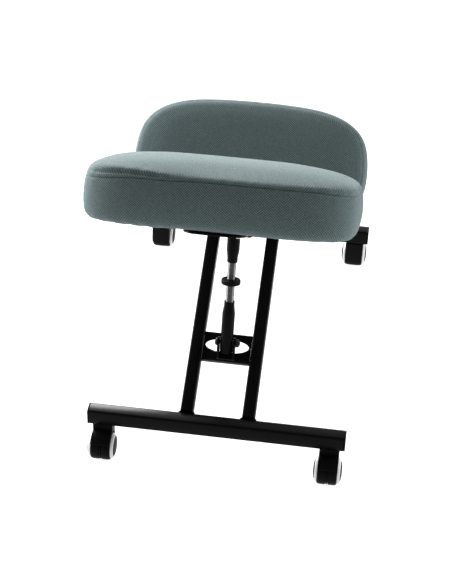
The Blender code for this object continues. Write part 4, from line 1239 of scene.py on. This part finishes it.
class CHAIR_OT_turnbuckle(bpy.types.Operator):
    """Build the turnbuckle: sleeves, threaded rod and fluted hand wheel"""

    bl_idname = "chair.turnbuckle"
    bl_label = "Turnbuckle"

    def execute(self, context):
        sizes = hardware()
        sleeve("lower_sleeve", LOWER_PIN, SCREW_DIR, 0.0043)
        sleeve("upper_sleeve", UPPER_PIN, -SCREW_DIR, 0.0053)
        stand_in("screw_rod", thread_mesh(sizes), finish("steel"))
        rim = sizes.grip_thick / 2
        outer, bore = sizes.grip_radius, sizes.rod_radius + CLEARANCE
        corner = 0.0014
        edge = arc((outer - corner, rim - corner), corner, (90, 70, 50, 30, 12, 0))
        web, shoulder = bore + 0.0025, outer - corner - 0.003
        upper = [(bore, rim * 0.8), (web, rim * 0.8), (shoulder, rim), *edge]
        profile = upper + [(radius, -height) for radius, height in reversed(upper)]

        def flute(angle, index):
            depth = 0.03 * max(0.0, (profile[index][0] - outer + corner) / corner)
            return 1 - depth * (0.5 - 0.5 * math.cos(sizes.grip_flutes * angle)) ** 3

        mesh = turned("hand_wheel", profile, frame_along(HAND_WHEEL_PLACE, SCREW_DIR), 240, True, flute)
        stand_in("hand_wheel", mesh, finish("plastic"))
        return {"FINISHED"}


def screw_head_mesh():
    """A pan head with a cross recess, its top along +Z."""
    radius, top = 0.0046, 0.0029
    profile = [(0, 0), (radius, 0), (radius, 0.0008), (0.0040, 0.0021), (0.0026, 0.0028), (0, top)]
    head = helper_shape("screw_head", turned("screw_head", profile, Matrix.Identity(4), 20))
    for angle in (0, math.pi / 2):
        blade = rounded_block("recess", (radius, 0.0010, 0.0030), 0.00015)
        blade.transform(Matrix.Translation((0, 0, top)) @ Matrix.Rotation(angle, 4, "Z"))
        carve(head, "Recess", blade)
    result = bake(head)
    drop_shape(head)
    return result


class CHAIR_OT_screws(bpy.types.Operator):
    """Screw the brackets to the boards"""

    bl_idname = "chair.screws"
    bl_label = "Bracket Screws"

    def execute(self, context):
        shape = helper_shape("screw_shape", screw_head_mesh())
        for pad, x, ends, plate in ((seat_pad(), 0.0345, (-0.120, 0.027), 0.0035),
                                    (knee_pad(), 0.0285, (-0.029, 0.029), 0.003)):
            for hand, side in zip(HANDS, (-x, x)):
                line = [pad.matrix @ Vector((side, y, -plate - 0.0007)) for y in ends]
                gap = (line[1] - line[0]).length * 0.999
                repeat_along(f"{pad.name}_screws_{hand}", line, shape, gap, pad.under(), finish("zinc"),
                             f"{pad.name}_frame", "zinc")
        drop_shape(shape)
        return {"FINISHED"}


# Casters

class CHAIR_OT_casters(bpy.types.Operator):
    """Build the casters: hoods, axles, wheels and their pale rings"""

    bl_idname = "chair.casters"
    bl_label = "Casters"

    def execute(self, context):
        for corner in CORNERS:
            dressed(f"caster_hood_{corner}", finish("plastic"), 0.0012, 3, 50)
            axle = middle(f"caster_axle_{corner}")
            self.axle(corner, axle)
            self.web(corner, axle)
            for which in ("inner", "outer"):
                self.wheel(corner, which, axle)
        return {"FINISHED"}

    def axle(self, corner, place):
        node = f"caster_axle_{corner}"
        low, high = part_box(node)
        profile = rounded(rod_profile((high.z - low.z) / 2, (high.x - low.x) / 2), 0.0005, 2)
        stand_in(node, turned(node, profile, across(place), 32), finish("zinc"))

    def web(self, corner, place):
        """The hood's thin web, carried down between the wheels."""
        sizes = hardware()
        half, radius = sizes.wheel_space / 2 - 0.0004, sizes.tyre_radius - 0.0006
        profile = rounded(tube_profile(0.0036, radius, -half, half), 0.0005, 2, True)
        hood = f"caster_hood_{corner}"
        mesh = turned("caster_web", profile, across(place), 64, True)
        fit(add_object(f"caster_web_{corner}", mesh, finish("plastic")), BODY_OF[hood], SLOT_OF[hood])

    def wheel(self, corner, which, axle):
        """A wheel with a domed hub, and the pale ring that lies in its side."""
        sizes = hardware()
        node, ring_node = (f"{name}_{corner}_{which}" for name in ("caster_wheel", "wheel_ring"))
        matrix = across(axle)
        if middle(node).x < axle.x:
            matrix = matrix @ Matrix.Rotation(math.pi, 4, "Y")
        near = sizes.wheel_space / 2
        far = near + sizes.tread_width
        top = far + sizes.dome
        radius, hub, ring = sizes.tyre_radius, sizes.hub_radius, sizes.ring_radius
        step, wall, bore, ledge = 0.0030, 0.0016, 0.0033, 0.0004
        edge, round_off, corner_cut = 0.0024, 0.0060, 0.0012
        seat = top - step - wall
        dome = [(hub * math.sin(a), top - step * (1 - math.cos(a)))
                for a in np.radians((0, 12, 25, 38, 50, 63, 76, 90))]
        side = rounded([(hub, top - step), (hub, seat), (ring, far - ledge), (radius - edge, far)], 0.0006, 3)
        shoulder = [(radius - edge * (1 - math.sin(a)), far - round_off * (1 - math.cos(a)))
                    for a in np.radians((12, 24, 36, 48, 60, 72, 82, 90))]
        tread = rounded([(radius, far - round_off), (radius, near + corner_cut), (radius - corner_cut, near),
                         (bore, near), (bore, seat), (0, seat)], 0.0004, 3)
        mesh = turned(node, dome + side[1:] + shoulder + tread[1:], matrix, 72)
        stand_in(node, mesh, finish("plastic"))
        inner, base, foot = hub + CLEARANCE, seat + CLEARANCE, far - ledge + CLEARANCE
        crest = ((inner + ring) / 2, (base + wall + foot) / 2 + wall)
        face = [(inner, base + wall), crest, (ring, foot + wall * 0.5), (ring, foot), (inner, base)]
        mesh = turned(ring_node, rounded(face, 0.0007, 3, True), matrix, 72, True)
        stand_in(ring_node, mesh, finish("ring"))


# Stage

class CHAIR_OT_stage(bpy.types.Operator):
    """Set the floor, the studio light and the camera"""

    bl_idname = "chair.stage"
    bl_label = "Stage"

    def execute(self, context):
        settings = context.scene.chair_stage
        self.floor()
        self.sky(context.scene, settings.sky)
        self.light("Key", (-1.7, 2.6, 1.55), (0, -0.05, 0.45), 1.5, settings.key_power)
        for name, x, share in (("Side left", -1.9, 1.20), ("Side right", 1.9, 0.58)):
            self.light(name, (x, 0.25, 0.6), (0, -0.10, 0.45), 1.3, settings.side_power * share)
        self.camera(context.scene, settings)
        context.scene.view_settings.view_transform = "Standard"
        return {"FINISHED"}

    def floor(self):
        material, tree, shader = new_material("Pale floor")
        tone = mixed(tree, grain(tree, 60, 1.2)["Blotch"], (0.24, 0.24, 0.24), (0.28, 0.28, 0.28))
        feed(tree, shader, {"Base Color": tone, "Roughness": 0.7, "Emission Color": (1.0, 1.0, 1.0, 1),
                            "Emission Strength": 0.92})
        half = 12.0
        corners = [(-half, -half, 0), (half, -half, 0), (half, half, 0), (-half, half, 0)]
        add_object("floor", mesh_from("floor", corners, [(0, 1, 2, 3)]), material)

    def sky(self, scene, strength):
        """An even glow that is brighter in front of the chair, darker overhead and white to the camera."""
        world = bpy.data.worlds.new("Studio")
        world.use_nodes = True
        tree = world.node_tree
        front = self.glow(tree, (0.0, 0.87, 0.49), 0.48, strength, strength * 4.5)
        overhead = self.glow(tree, (0.0, -0.1, 1.0), 0.60, 1.0, 0.30)
        seen = add_node(tree, "ShaderNodeLightPath").outputs["Is Camera Ray"]
        shown = picked(tree, seen, calc(tree, "MULTIPLY", front, overhead), 1.0)
        feed(tree, tree.nodes["Background"], {"Color": (1.0, 1.0, 1.0, 1), "Strength": shown})
        scene.world = world

    def glow(self, tree, direction, start, away, towards):
        """A strength that goes over from one value to another round a direction of the sky."""
        place = add_node(tree, "ShaderNodeTexCoord").outputs["Generated"]
        facing = add_node(tree, "ShaderNodeVectorMath", {0: place, 1: direction}, operation="DOT_PRODUCT")
        return ranged(tree, facing.outputs["Value"], away, towards, start, "SMOOTHSTEP")

    def light(self, name, place, aim, size, watts):
        lamp = configure(bpy.data.lights.new(name, "AREA"), shape="DISK", size=size, energy=watts)
        turn = (Vector(aim) - Vector(place)).to_track_quat("-Z", "Y")
        piece = configure(add_object(name, lamp), location=place, rotation_mode="QUATERNION")
        piece.rotation_quaternion = turn

    def camera(self, scene, settings):
        turn, rise, lean = settings.azimuth, settings.elevation, settings.roll
        back = Vector((math.sin(turn) * math.cos(rise), -math.cos(turn) * math.cos(rise), math.sin(rise)))
        right = Vector((math.cos(turn), math.sin(turn), 0))
        side = right * math.cos(lean) + back.cross(right) * math.sin(lean)
        lens = configure(bpy.data.cameras.new("Camera"), lens=settings.lens, sensor_width=36)
        scene.camera = add_object("Camera", lens)
        scene.camera.matrix_world = frame_along(Vector(settings.camera_place), back, side)


class CHAIR_PT_panel(bpy.types.Panel):
    """Lists the chair's operators"""

    bl_idname = "CHAIR_PT_panel"
    bl_label = "Kneeling Chair"
    bl_space_type = "VIEW_3D"
    bl_region_type = "UI"
    bl_category = "Chair"

    def draw(self, context):
        for operator in OPERATORS:
            self.layout.operator(operator.bl_idname)


OPERATORS = (CHAIR_OT_stage, CHAIR_OT_covers, CHAIR_OT_undersides, CHAIR_OT_frame, CHAIR_OT_welds,
             CHAIR_OT_bolts, CHAIR_OT_turnbuckle, CHAIR_OT_screws, CHAIR_OT_casters)
GROUPS = (("chair_pads", PadSizes), ("chair_hardware", HardwareSizes), ("chair_colours", ChairColours),
          ("chair_stage", StageSettings))


def register():
    for name, group in GROUPS:
        bpy.utils.register_class(group)
        setattr(bpy.types.Scene, name, PointerProperty(type=group))
    for operator in (*OPERATORS, CHAIR_PT_panel):
        bpy.utils.register_class(operator)


def unregister():
    for operator in reversed((*OPERATORS, CHAIR_PT_panel)):
        bpy.utils.unregister_class(operator)
    for name, group in reversed(GROUPS):
        delattr(bpy.types.Scene, name)
        bpy.utils.unregister_class(group)


def main():
    register()
    for operator in OPERATORS:
        family, action = operator.bl_idname.split(".")
        getattr(getattr(bpy.ops, family), action)()


if __name__ == "__main__":
    main()
